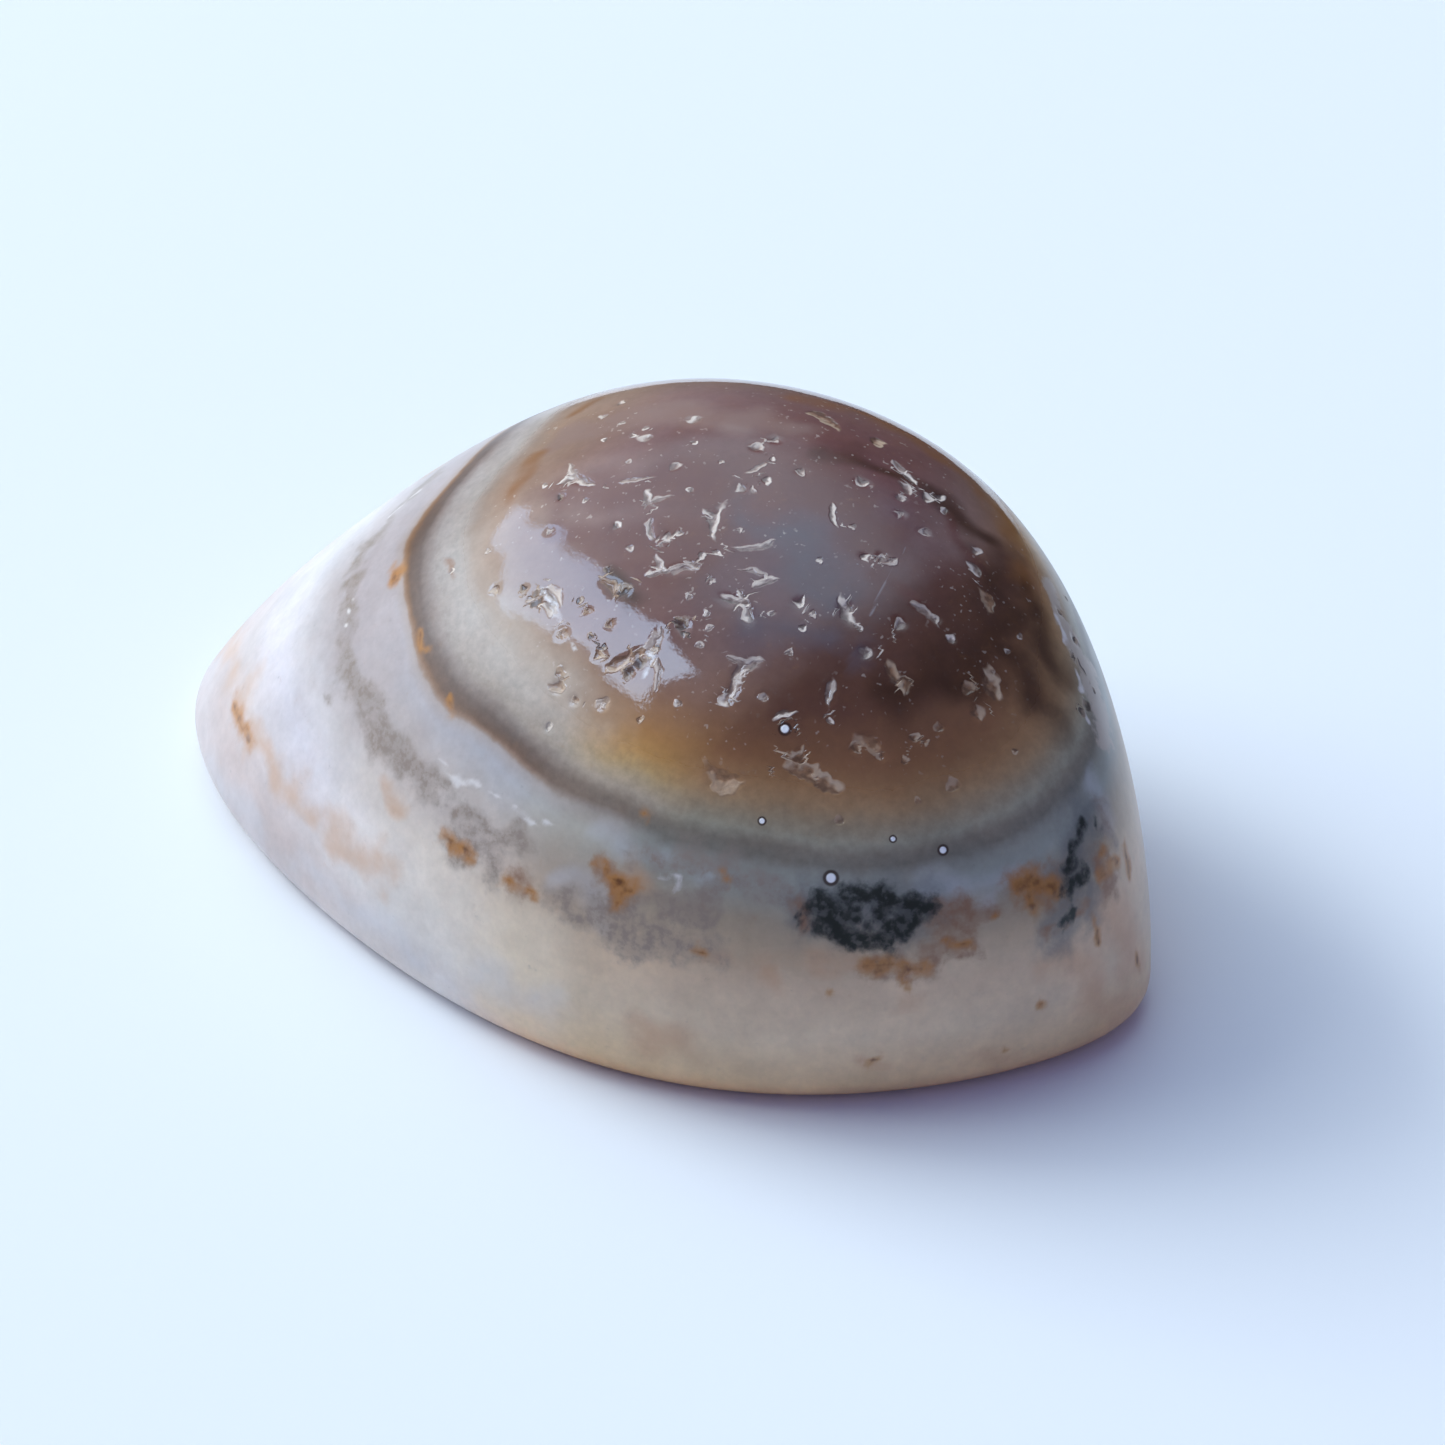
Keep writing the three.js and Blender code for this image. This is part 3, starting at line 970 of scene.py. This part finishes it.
# Grain of the layers: its noise, its strength, and two spans of the layer height with its share at each end
LAYER_GRAIN = (0.17, 3.0, 0.65)
LAYER_GRAIN_STRENGTH = 0.6
LAYER_GRAIN_SETS_IN = (5.4, 5.7, 0.35, 1.0)
LAYER_GRAIN_FADES = (6.4, 6.8, 1.0, 0.4)

# Layer heights between which the satin wall turns into the glossy cap, and light under the surface fades
CAP_SETS_IN = (6.5, 6.9)
GLOW_FADES = (5.2, 5.5)

# Grain of such a stain: size, detail and roughness of its noise, the noise's values where the stain is
# weakest and full, and its weakest share
SMOKE_GRAIN = (0.16, 4.0, 0.6, 0.40, 0.62, 0.60)
OLD_RUST_GRAIN = (0.20, 3.0, 0.5, 0.40, 0.60, 0.65)
MOSS_GRAIN = (0.17, 3.0, 0.5, 0.36, 0.54, 0.35)
MOSS_STRENGTH = 0.97

# Cracks: their field's values where they set in and are full, and their strength
CRACK_SPAN = (0.1, 0.8)
CRACK_STRENGTH = 0.28

# Where the rust darkens to umber: a share of its field plus a noise of this size and detail, and the sum's
# values where umber sets in and is full
UMBER_SHARE = 0.5
UMBER_NOISE = (0.20, 2.0)
UMBER_SPAN = (0.60, 1.15)

# Dust in the cap's polish: noise of its patches and of its specks, their values where they set in and are
# full, and its strength. Then how rough the wall, the cap and the bruises on top of either are
DUST_PATCHES = 1.4
DUST_PATCH_SPAN = (0.40, 0.60)
DUST_NOISE = (0.11, 1.0)
DUST_SPAN = (0.66, 0.76)
DUST_STRENGTH = 0.30
WALL_ROUGHNESS = 0.28
CAP_ROUGHNESS = 0.05
BRUISE_ROUGHNESS = 0.25

# Relief of the polish as size of its noise and its detail, height and strength, and the bruises' relief as
# height and strength, with how deep their bowl is to the height of their rim
SWELL = (2.2, 1.0, 0.06, 0.35)
RIPPLE = (0.8, 1.0, 0.012, 0.50)
GRAIN = (0.10, 2.0, 0.003, 0.35)
BRUISE_RELIEF = (0.02, 0.6)
BOWL_RELIEF = 0.6

# Light under the surface: its share in the milky layers and in the cap, how far red, green and blue go, and
# the scale of that in millimetres. Then the stone's refraction
MILKY_GLOW = 0.50
CAP_GLOW = 0.12
GLOW_RADII = (1.0, 0.8, 0.7)
GLOW_SCALE = 0.14
REFRACTION = 1.54

# Bruises, by their reach: where they are near, the bowl, and the rim's inner and outer edge. Then by their
# place across: the shaded and the lit side. Each pair tells where the mask is 0 and 1
BRUISE_NEAR = (2.1, 1.7)
BOWL_SPAN = (1.05, 0.60)
RIM_INNER = (0.05, 0.55)
RIM_OUTER = (1.12, 0.75)
SHADED_SIDE = (-0.15, 0.45)
LIT_SIDE = (0.30, -0.20)

# Size, spread and detail of the noises that fray them along and across
FRAY_ALONG = (0.24, 1.3, 0.6)
FRAY_ACROSS = (0.20, 2.0, 0.8)

# Beads, which are painted glints, in the same way: how near their number is, their white heart, and their
# dark ring's edges and strength
BEAD_MARGIN = 0.01
BEAD_GLINT = (0.75, 0.50)
BEAD_RING_INNER = (0.55, 0.75)
BEAD_RING_OUTER = (1.25, 0.95)
BEAD_RING_STRENGTH = 0.85
BEAD_GLINT_COLOUR = (1.0, 1.0, 1.0)

# Uneven tone of the bowls: size and detail of its noise, its values at the darkest and the brightest, and
# how bright those are. Then the share of its strength that the dimmest bruise has
TONE_NOISE = (0.12, 2.0)
TONE_SPAN = (0.40, 0.60, 0.70, 1.25)
DIMMEST_BRUISE = 0.40

# Strengths of the bowl, the painted shade and the rim, which is a painted highlight as well, in the four
# kinds of bruise: pale chip, tan chip, pit, bead
BOWL_STRENGTHS = (0.25, 0.55, 0.75, 0.0)
SHADE_STRENGTHS = (0.55, 0.55, 0.50, 0.0)
LIT_RIM_STRENGTHS = (1.0, 0.80, 0.70, 0.0)


def layer_colours(bench, height, layers):
    """The colours of a run of layers along the layer height."""
    stops = [(place / LAYER_TOP, colour) for place, colour in layers]
    return bench.ramp(bench.math("DIVIDE", height, LAYER_TOP), stops)


def shifted(bench, field, size_mm, spread, detail=4.0):
    """A field, shifted up and down by noise."""
    noise = bench.math("SUBTRACT", bench.noise(size_mm, detail, SHIFT_ROUGHNESS), NOISE_MIDDLE)
    return bench.math("MULTIPLY_ADD", noise, spread, field)


def ragged(bench, stain):
    """A mask whose outline is torn by noise: the stain's field, shifted by noise, steps up from low to
    high."""
    name, size_mm, spread, detail, low, high = stain[:6]
    return bench.span(shifted(bench, bench.field(name), size_mm, spread, detail), low, high)


def grainy(bench, grain):
    """A mask of grains, from its weakest share up to 1."""
    size_mm, detail, roughness, low, high, weakest = grain
    return bench.span(bench.noise(size_mm, detail, roughness), low, high, weakest, 1.0)


def stained(bench, base, mask, strength, colour):
    """The base colour, covered by another to the strength of a mask."""
    return bench.mix(bench.times(mask, strength), base, colour)


def laid(bench, base, colours, stains):
    """The base colour with stains over it, each in the colour of its name."""
    for stain in stains:
        base = stained(bench, base, ragged(bench, stain), stain[-1], getattr(colours, stain[0]))
    return base


def agate_layers(bench, height):
    """The layers, mixed from side to side, cloudy all over and grainy in and above the dark ring."""
    side = shifted(bench, bench.field("side"), *SIDE_SWAY)
    base = layer_colours(bench, height, MILKY_LAYERS)
    for layers, low, high in LAYER_CHANGES:
        base = bench.mix(bench.span(side, low, high), base, layer_colours(bench, height, layers))
    base = bench.tint(base, bench.span(bench.noise(*CLOUD_NOISE), *CLOUD_SPAN))
    from_ring = bench.span(height, *LAYER_GRAIN_SETS_IN)
    amount = bench.times(from_ring, bench.span(height, *LAYER_GRAIN_FADES))
    grain = bench.times(bench.math("SUBTRACT", bench.noise(*LAYER_GRAIN), NOISE_MIDDLE), amount)
    return bench.tint(base, bench.math("MULTIPLY_ADD", grain, LAYER_GRAIN_STRENGTH, 1.0))


def cap_clouds_and_reflection(bench, base, colours):
    """The clouds of the brown cap: first a pale mauve painted reflection, then wine red, dark brown and
    amber patches and the eye's bluish heart, and over them its fine cracks."""
    base = laid(bench, base, colours, CAP_CLOUDS_AND_REFLECTION)
    cracks = bench.span(bench.field("crack"), *CRACK_SPAN)
    return stained(bench, base, cracks, CRACK_STRENGTH, colours.mist)


def rust_colour(bench, colours):
    """Rust that darkens to umber in its depth and in grains."""
    depth = bench.math("MULTIPLY_ADD", bench.field("rust"), UMBER_SHARE, bench.noise(*UMBER_NOISE))
    return bench.mix(bench.span(depth, *UMBER_SPAN), colours.rust, colours.umber)


def wall_stains_and_painted_light(bench, base, colours):
    """The stains of the milky layers: a pale band, partly a painted reflection, and tints first, then smoke,
    thin whitish lines, some of them painted highlights, and haze, iron stains and black growth."""
    base = laid(bench, base, colours, WALL_TINTS_AND_REFLECTION)
    smoke = bench.times(ragged(bench, SMOKE_STAIN), grainy(bench, SMOKE_GRAIN))
    base = stained(bench, base, smoke, SMOKE_STAIN[-1], colours.smoke)
    base = laid(bench, base, colours, WALL_VEILS_AND_HIGHLIGHTS)
    old_rust = bench.times(ragged(bench, OLD_RUST_STAIN), grainy(bench, OLD_RUST_GRAIN))
    base = stained(bench, base, old_rust, OLD_RUST_STAIN[-1], colours.old_rust)
    base = stained(bench, base, ragged(bench, RUST_STAIN), RUST_STAIN[-1], rust_colour(bench, colours))
    moss = ragged(bench, MOSS_GROUND)
    base = stained(bench, base, moss, MOSS_GROUND[-1], colours.shadow)
    return stained(bench, base, bench.times(moss, grainy(bench, MOSS_GRAIN)), MOSS_STRENGTH, colours.moss)


def plane_length(bench, u, v):
    """sqrt(u * u + v * v)."""
    return bench.math("SQRT", bench.math("ADD", bench.times(u, u), bench.times(v, v)))


def bruise_masks(bench):
    """A bruise's number and the masks of its bowl, its shaded side, which is painted shade, its crushed
    rim, drawn on the lit side only and so also a painted highlight, a bead's white heart, which is a
    painted glint, and a bead's dark ring, from the place in the nearest bruise, bent by noise. The stored
    reach keeps the masks off the seams where one bruise's neighbourhood meets the next."""
    u, v, number = bench.vector_field("bruise")
    near = bench.span(bench.field("bruise_reach"), *BRUISE_NEAR)
    true_reach = plane_length(bench, u, v)
    u = shifted(bench, u, *FRAY_ALONG)
    v = shifted(bench, v, *FRAY_ACROSS)
    reach = plane_length(bench, u, v)
    bowl = bench.times(near, bench.span(reach, *BOWL_SPAN))
    ring = bench.times(bench.span(reach, *RIM_INNER), bench.span(reach, *RIM_OUTER))
    # Painted shade on one side of the bowl; on the other side the crushed rim, also a painted highlight
    shade = bench.times(bowl, bench.span(v, *SHADED_SIDE))
    rim = bench.times(bench.times(near, ring), bench.span(v, *LIT_SIDE))
    bead = bench.times(near, bench.span(number, BEAD - BEAD_MARGIN, BEAD + BEAD_MARGIN))
    # A bead's white heart is a painted glint
    heart = bench.times(bead, bench.span(true_reach, *BEAD_GLINT))
    outside = bench.times(bench.span(true_reach, *BEAD_RING_INNER), bench.span(true_reach, *BEAD_RING_OUTER))
    return number, bowl, shade, rim, heart, bench.times(bead, outside)


def bruised(bench, base, colours):
    """The base colour with the bruises over it, with their painted shade, highlights and glints, how far
    each point is bruised, and the bruises' relief.
    """
    number, bowl, shade, rim, heart, dark_ring = bruise_masks(bench)
    tones = bench.by_kind(number, (colours.chip, colours.tan_chip, colours.hole, colours.chip))
    tones = bench.tint(tones, bench.span(bench.noise(*TONE_NOISE), *TONE_SPAN))
    lit_rim_tones = bench.by_kind(number, (colours.chip, colours.tan_rim, colours.tan_rim, colours.chip))
    brightness = bench.span(bench.math("FRACT", number), 0.0, 1.0, DIMMEST_BRUISE, 1.0)
    bowl_mask = bench.times(bowl, bench.by_kind(number, BOWL_STRENGTHS))
    shade_mask = bench.times(shade, bench.by_kind(number, SHADE_STRENGTHS))
    lit_rim_mask = bench.times(rim, bench.by_kind(number, LIT_RIM_STRENGTHS))
    base = bench.mix(bowl_mask, base, tones)
    # Painted shade on the shaded side, then the rim on the lit side, crushed stone and painted highlight
    base = bench.mix(bench.times(shade_mask, brightness), base, colours.hole)
    base = bench.mix(bench.times(lit_rim_mask, brightness), base, lit_rim_tones)
    base = stained(bench, base, dark_ring, BEAD_RING_STRENGTH, colours.hole)
    # A painted glint: the bead's pure white heart
    base = bench.mix(heart, base, BEAD_GLINT_COLOUR)
    relief = bench.math("SUBTRACT", bench.math("ADD", lit_rim_mask, heart), bench.times(bowl, BOWL_RELIEF))
    return base, bench.math("MAXIMUM", bowl_mask, lit_rim_mask), relief


def polish_normal(bench, relief):
    """Slow swells, ripples and fine grain of the polish, and the bruises' relief on top."""
    normal = None
    for size_mm, detail, height_mm, strength in (SWELL, RIPPLE, GRAIN):
        normal = bench.bump(bench.noise(size_mm, detail), height_mm, strength, normal)
    return bench.bump(relief, *BRUISE_RELIEF, normal)


def agate_finish(colours):
    """Polished agate: stained layers with painted reflections and highlights among the stains, with bruises,
    whose shade, highlights and glints are painted, and dust in a glossy cap and a more satin wall.
    """
    material = bpy.data.materials.new("polished_agate")
    bench = NodeBench(material)
    height = shifted(bench, shifted(bench, bench.field("layer"), *LAYER_SWAY), *LAYER_FRAY)
    cap = bench.span(height, *CAP_SETS_IN)
    base = wall_stains_and_painted_light(bench, cap_clouds_and_reflection(bench, agate_layers(bench, height), colours), colours)
    patchy = bench.span(bench.noise(DUST_PATCHES), *DUST_PATCH_SPAN)
    dust = bench.times(bench.span(bench.noise(*DUST_NOISE), *DUST_SPAN), patchy)
    base = stained(bench, base, bench.times(dust, cap), DUST_STRENGTH, colours.chip)
    base, bruise, relief = bruised(bench, base, colours)
    smooth = bench.span(cap, 0.0, 1.0, WALL_ROUGHNESS, CAP_ROUGHNESS)
    bench.surface(
        Base_Color=base,
        Roughness=bench.math("MULTIPLY_ADD", bruise, BRUISE_ROUGHNESS, smooth),
        Subsurface_Weight=bench.span(height, *GLOW_FADES, MILKY_GLOW, CAP_GLOW),
        Subsurface_Radius=GLOW_RADII,
        Subsurface_Scale=GLOW_SCALE * MM,
        IOR=REFRACTION,
        Normal=polish_normal(bench, relief),
    )
    return material


def mesh_normals(piece):
    """The unit normals of the mesh's points."""
    normals = np.empty(len(piece.data.vertices) * 3, np.float32)
    piece.data.vertex_normals.foreach_get("vector", normals)
    return normals.reshape(-1, 3).astype(float)


def build_stone(colours):
    """The stone: surface, bruises, fields for its finish, and the finish."""
    points, faces = stone_surface()
    points = fit_to_frame(points)
    stone = new_object("eye_agate_stone", points, faces)
    normals = mesh_normals(stone)
    side = side_field(points)
    layer = layer_height(points, side)
    layer -= LAYER_DIP * ease(stroke_field(points, *marks_on_stone(LAYER_DIPS, points, normals)))
    places, reach, depth = bruise_places(points, bruise_frames(points, normals, layer))
    sunk = points - normals * depth[:, None]
    stone.data.vertices.foreach_set("co", (sunk * MM).astype(np.float32).reshape(-1))
    stone.data.update()
    add_field(stone, "layer", layer)
    add_field(stone, "side", side)
    add_field(stone, "bruise", places)
    add_field(stone, "bruise_reach", reach)
    for number, (name, marks, size, reach, layers) in enumerate(MARK_FIELDS):
        hidden = hidden_points(points, normals, layer, layers) if layers else ()
        seed = FIRST_SEED + SEED_STEP * number
        add_field(stone, name, marks_field(marks, points, normals, size, reach, seed, hidden))
    eye = marks_field(EYE, points, normals, *EYE_WANDER, EYE_SEED)
    past_crack = np.clip(beyond_line(points, normals, EYE_CRACK) / CRACK_SOFTNESS + 0.5, 0, 1)
    add_field(stone, "eye", eye - BEYOND_CRACK * past_crack)
    stone.data.materials.append(agate_finish(colours))
    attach(stone, BODY)
    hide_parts(NODE)


def floor_finish(colour):
    """One plain, rough colour."""
    material = bpy.data.materials.new("pale_floor")
    NodeBench(material).surface(Base_Color=(*colour, 1.0), Roughness=FLOOR_ROUGHNESS)
    return material


def floor_ring(name, inner, outer, material):
    """A flat ring round the stone's middle, from an inner to an outer radius in millimetres."""
    turn = 2 * np.pi * np.arange(FLOOR_SIDES) / FLOOR_SIDES
    circle = np.stack([np.cos(turn), np.sin(turn), 0 * turn], -1)
    level = np.array([0.0, 0.0, -FLOOR_GAP])
    here = np.arange(FLOOR_SIDES)
    there = np.roll(here, -1)
    faces = np.stack([here, here + FLOOR_SIDES, there + FLOOR_SIDES, there], -1)
    ring = new_object(name, np.concatenate([circle * inner, circle * outer]) + level, faces.tolist())
    ring.data.materials.append(material)
    return ring


def build_floor(look):
    """The pale floor that the stone lies on. The stone mirrors only the part near it, so that no bright
    horizon shows along its upper outline."""
    finish = floor_finish(look.floor_colour)
    near = look.near_floor / MM
    floor_ring("near_floor", FLOOR_HOLE, near, finish)
    far_floor = floor_ring("far_floor", near, look.floor_size / 2 / MM, finish)
    far_floor.visible_glossy = False


def photo_direction(sideways, rise):
    """Unit vector of a place seen sideways degrees to the right of straight away from the camera."""
    turn = math.radians(sideways)
    up = math.radians(rise)
    away = np.array([-math.sin(VIEW_TURN), math.cos(VIEW_TURN), 0.0])
    right = np.array([math.cos(VIEW_TURN), math.sin(VIEW_TURN), 0.0])
    flat = math.sin(turn) * right + math.cos(turn) * away
    return flat * math.cos(up) + np.array([0.0, 0.0, math.sin(up)])


def place_in_frame(name, data, across, up, back, place):
    """An object of lamp or camera data at a place in metres, with its own X, Y and Z along three
    directions."""
    item = bpy.data.objects.new(name, data)
    matrix = np.eye(4)
    matrix[:3] = np.stack([across, up, back, place], -1)
    item.matrix_world = Matrix(matrix)
    bpy.context.scene.collection.objects.link(item)
    return item


def add_strip(name, ends, height, radiance, colour):
    """A soft rectangular light that faces the stone, along a line between two directions, each given as
    degrees right of straight away and degrees up. Its height is a share of its distance, and its power is
    radiance times pi times its area. Reflections don't see it."""
    first, last = (photo_direction(*end) for end in ends)
    towards = (first + last) / np.linalg.norm(first + last)
    across = last - first
    length = np.linalg.norm(across)
    across /= length
    light = bpy.data.lights.new(name, "AREA")
    light.shape = "RECTANGLE"
    light.size = length * STRIP_DISTANCE
    light.size_y = height * STRIP_DISTANCE
    light.energy = radiance * math.pi * light.size * light.size_y
    light.color = colour
    up = np.cross(towards, across)
    lamp = place_in_frame(name, light, across, up, towards, towards * STRIP_DISTANCE)
    lamp.visible_glossy = False


def window_share(bench, direction):
    """1 in the directions of the window and 0 outside: the least, over its sides, of how far a waved
    direction lies to the inner side."""
    noise = bench.add("TexNoise", {
        "Vector": direction, "Scale": WINDOW_WAVE_FINENESS, "Detail": WINDOW_WAVE_DETAIL,
    }).outputs["Color"]
    waves_on = {0: noise, 1: (WINDOW_WAVE,) * 3, 2: direction}
    waved = bench.add("VectorMath", waves_on, operation="MULTIPLY_ADD").outputs[0]
    corners = [photo_direction(*corner) for corner in WINDOW_CORNERS]
    inside = 1.0
    for first, second in zip(corners, corners[1:] + corners[:1]):
        inner = np.cross(second, first)
        inner /= np.linalg.norm(inner)
        gap = bench.math("SUBTRACT", bench.dot(waved, inner), WINDOW_WAVE / 2 * inner.sum())
        inside = bench.math("MINIMUM", inside, gap)
    return bench.span(inside, -WINDOW_SOFTNESS, WINDOW_SOFTNESS)


def window_light(bench, direction, colour):
    """The window's colour, which fades from its bright end to its dim end."""
    facing = bench.dot(direction, photo_direction(*WINDOW_CORNERS[WINDOW_FAR_CORNER]))
    (bright_angle, bright), (dim_angle, dim) = WINDOW_BRIGHT_END, WINDOW_DIM_END
    dim_facing, bright_facing = (math.cos(math.radians(angle)) for angle in (dim_angle, bright_angle))
    return bench.tint(tuple(colour), bench.span(facing, dim_facing, bright_facing, dim, bright, soft=False))


def with_glows(bench, direction, look, sky):
    """The sky's colour with its two soft glows over it."""
    light = tuple(sky)
    for place, colour in ((GLOW_PLACE, look.glow), (OVERHEAD_PLACE, look.overhead)):
        facing = bench.dot(direction, photo_direction(*place))
        share = bench.span(facing, math.cos(math.radians(GLOW_EDGE)), math.cos(math.radians(GLOW_HEART)))
        light = bench.mix(share, light, colour)
    return light


def build_world(look):
    """A world that is dim all round, with one soft glow behind the stone on its left and a weaker one
    overhead. Only reflections see its window, and the dark room that its sky sinks into."""
    world = bpy.data.worlds.new("soft_light")
    bench = NodeBench(world)
    direction = bench.add("TexCoord", {}).outputs["Generated"]
    rise = bench.dot(direction, (0.0, 0.0, 1.0))
    dark_below, lit_above = (math.sin(math.radians(angle)) for angle in (DARK_BELOW, LIT_ABOVE))
    mirrored = with_glows(bench, direction, look, look.mirrored_sky)
    mirrored = bench.mix(bench.span(rise, dark_below, lit_above), look.mirrored_room, mirrored)
    window = window_light(bench, direction, look.mirrored_window)
    mirrored = bench.mix(window_share(bench, direction), mirrored, window)
    is_mirrored = bench.add("LightPath", {}).outputs["Is Glossy Ray"]
    light = bench.mix(is_mirrored, with_glows(bench, direction, look, look.sky), mirrored)
    background = bench.add("Background", {"Color": light, "Strength": look.world_strength})
    bench.add("OutputWorld", {"Surface": background.outputs["Background"]})
    bpy.context.scene.world = world


def build_lights(look):
    """Two strips of window behind the stone on its left, a narrow bright one and a broad one. They only
    light: the window that the stone mirrors is the world's."""
    add_strip("key", KEY_ENDS, KEY_HEIGHT, look.key_strength, look.window)
    add_strip("day", DAY_ENDS, DAY_HEIGHT, look.day_strength, look.window)


def build_camera():
    """The camera at the photograph's viewing angle."""
    place, right, up, forward = camera_axes()
    data = bpy.data.cameras.new("camera")
    data.sensor_width = SENSOR_WIDTH
    data.lens = FOCAL_PIXELS / PHOTO_SIZE * SENSOR_WIDTH
    data.clip_start = NEAREST_SEEN
    data.clip_end = FARTHEST_SEEN
    bpy.context.scene.camera = place_in_frame("camera", data, right, up, -forward, place * MM)


class EYEAGATE_OT_stone(bpy.types.Operator):
    """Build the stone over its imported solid"""
    bl_idname = "eye_agate.stone"
    bl_label = "Stone"

    def execute(self, context):
        build_stone(context.scene.eye_agate_colours)
        return {"FINISHED"}


class EYEAGATE_OT_stage(bpy.types.Operator):
    """Build the floor, the lights and the camera"""
    bl_idname = "eye_agate.stage"
    bl_label = "Stage"

    def execute(self, context):
        look = context.scene.eye_agate_stage
        build_floor(look)
        build_world(look)
        build_lights(look)
        build_camera()
        context.scene.view_settings.view_transform = "Standard"
        return {"FINISHED"}


class EYEAGATE_PT_panel(bpy.types.Panel):
    """Lists the colours and the steps"""
    bl_idname = "EYEAGATE_PT_panel"
    bl_label = "Eye agate"
    bl_space_type = "VIEW_3D"
    bl_region_type = "UI"
    bl_category = "Eye agate"

    def draw(self, context):
        for group in (context.scene.eye_agate_colours, context.scene.eye_agate_stage):
            for name in group.__annotations__:
                self.layout.prop(group, name)
        for operator in (EYEAGATE_OT_stone, EYEAGATE_OT_stage):
            self.layout.operator(operator.bl_idname)


CLASSES = (EyeAgateColours, EyeAgateStage, EYEAGATE_OT_stone, EYEAGATE_OT_stage, EYEAGATE_PT_panel)


def register():
    """Registers the classes and hangs both groups of properties on the scene."""
    for item in CLASSES:
        bpy.utils.register_class(item)
    bpy.types.Scene.eye_agate_colours = bpy.props.PointerProperty(type=EyeAgateColours)
    bpy.types.Scene.eye_agate_stage = bpy.props.PointerProperty(type=EyeAgateStage)


def unregister():
    """Takes back what register did."""
    del bpy.types.Scene.eye_agate_stage
    del bpy.types.Scene.eye_agate_colours
    for item in reversed(CLASSES):
        bpy.utils.unregister_class(item)


def main():
    """Builds everything in order."""
    register()
    bpy.ops.eye_agate.stage()
    bpy.ops.eye_agate.stone()


if __name__ == "__main__":
    main()
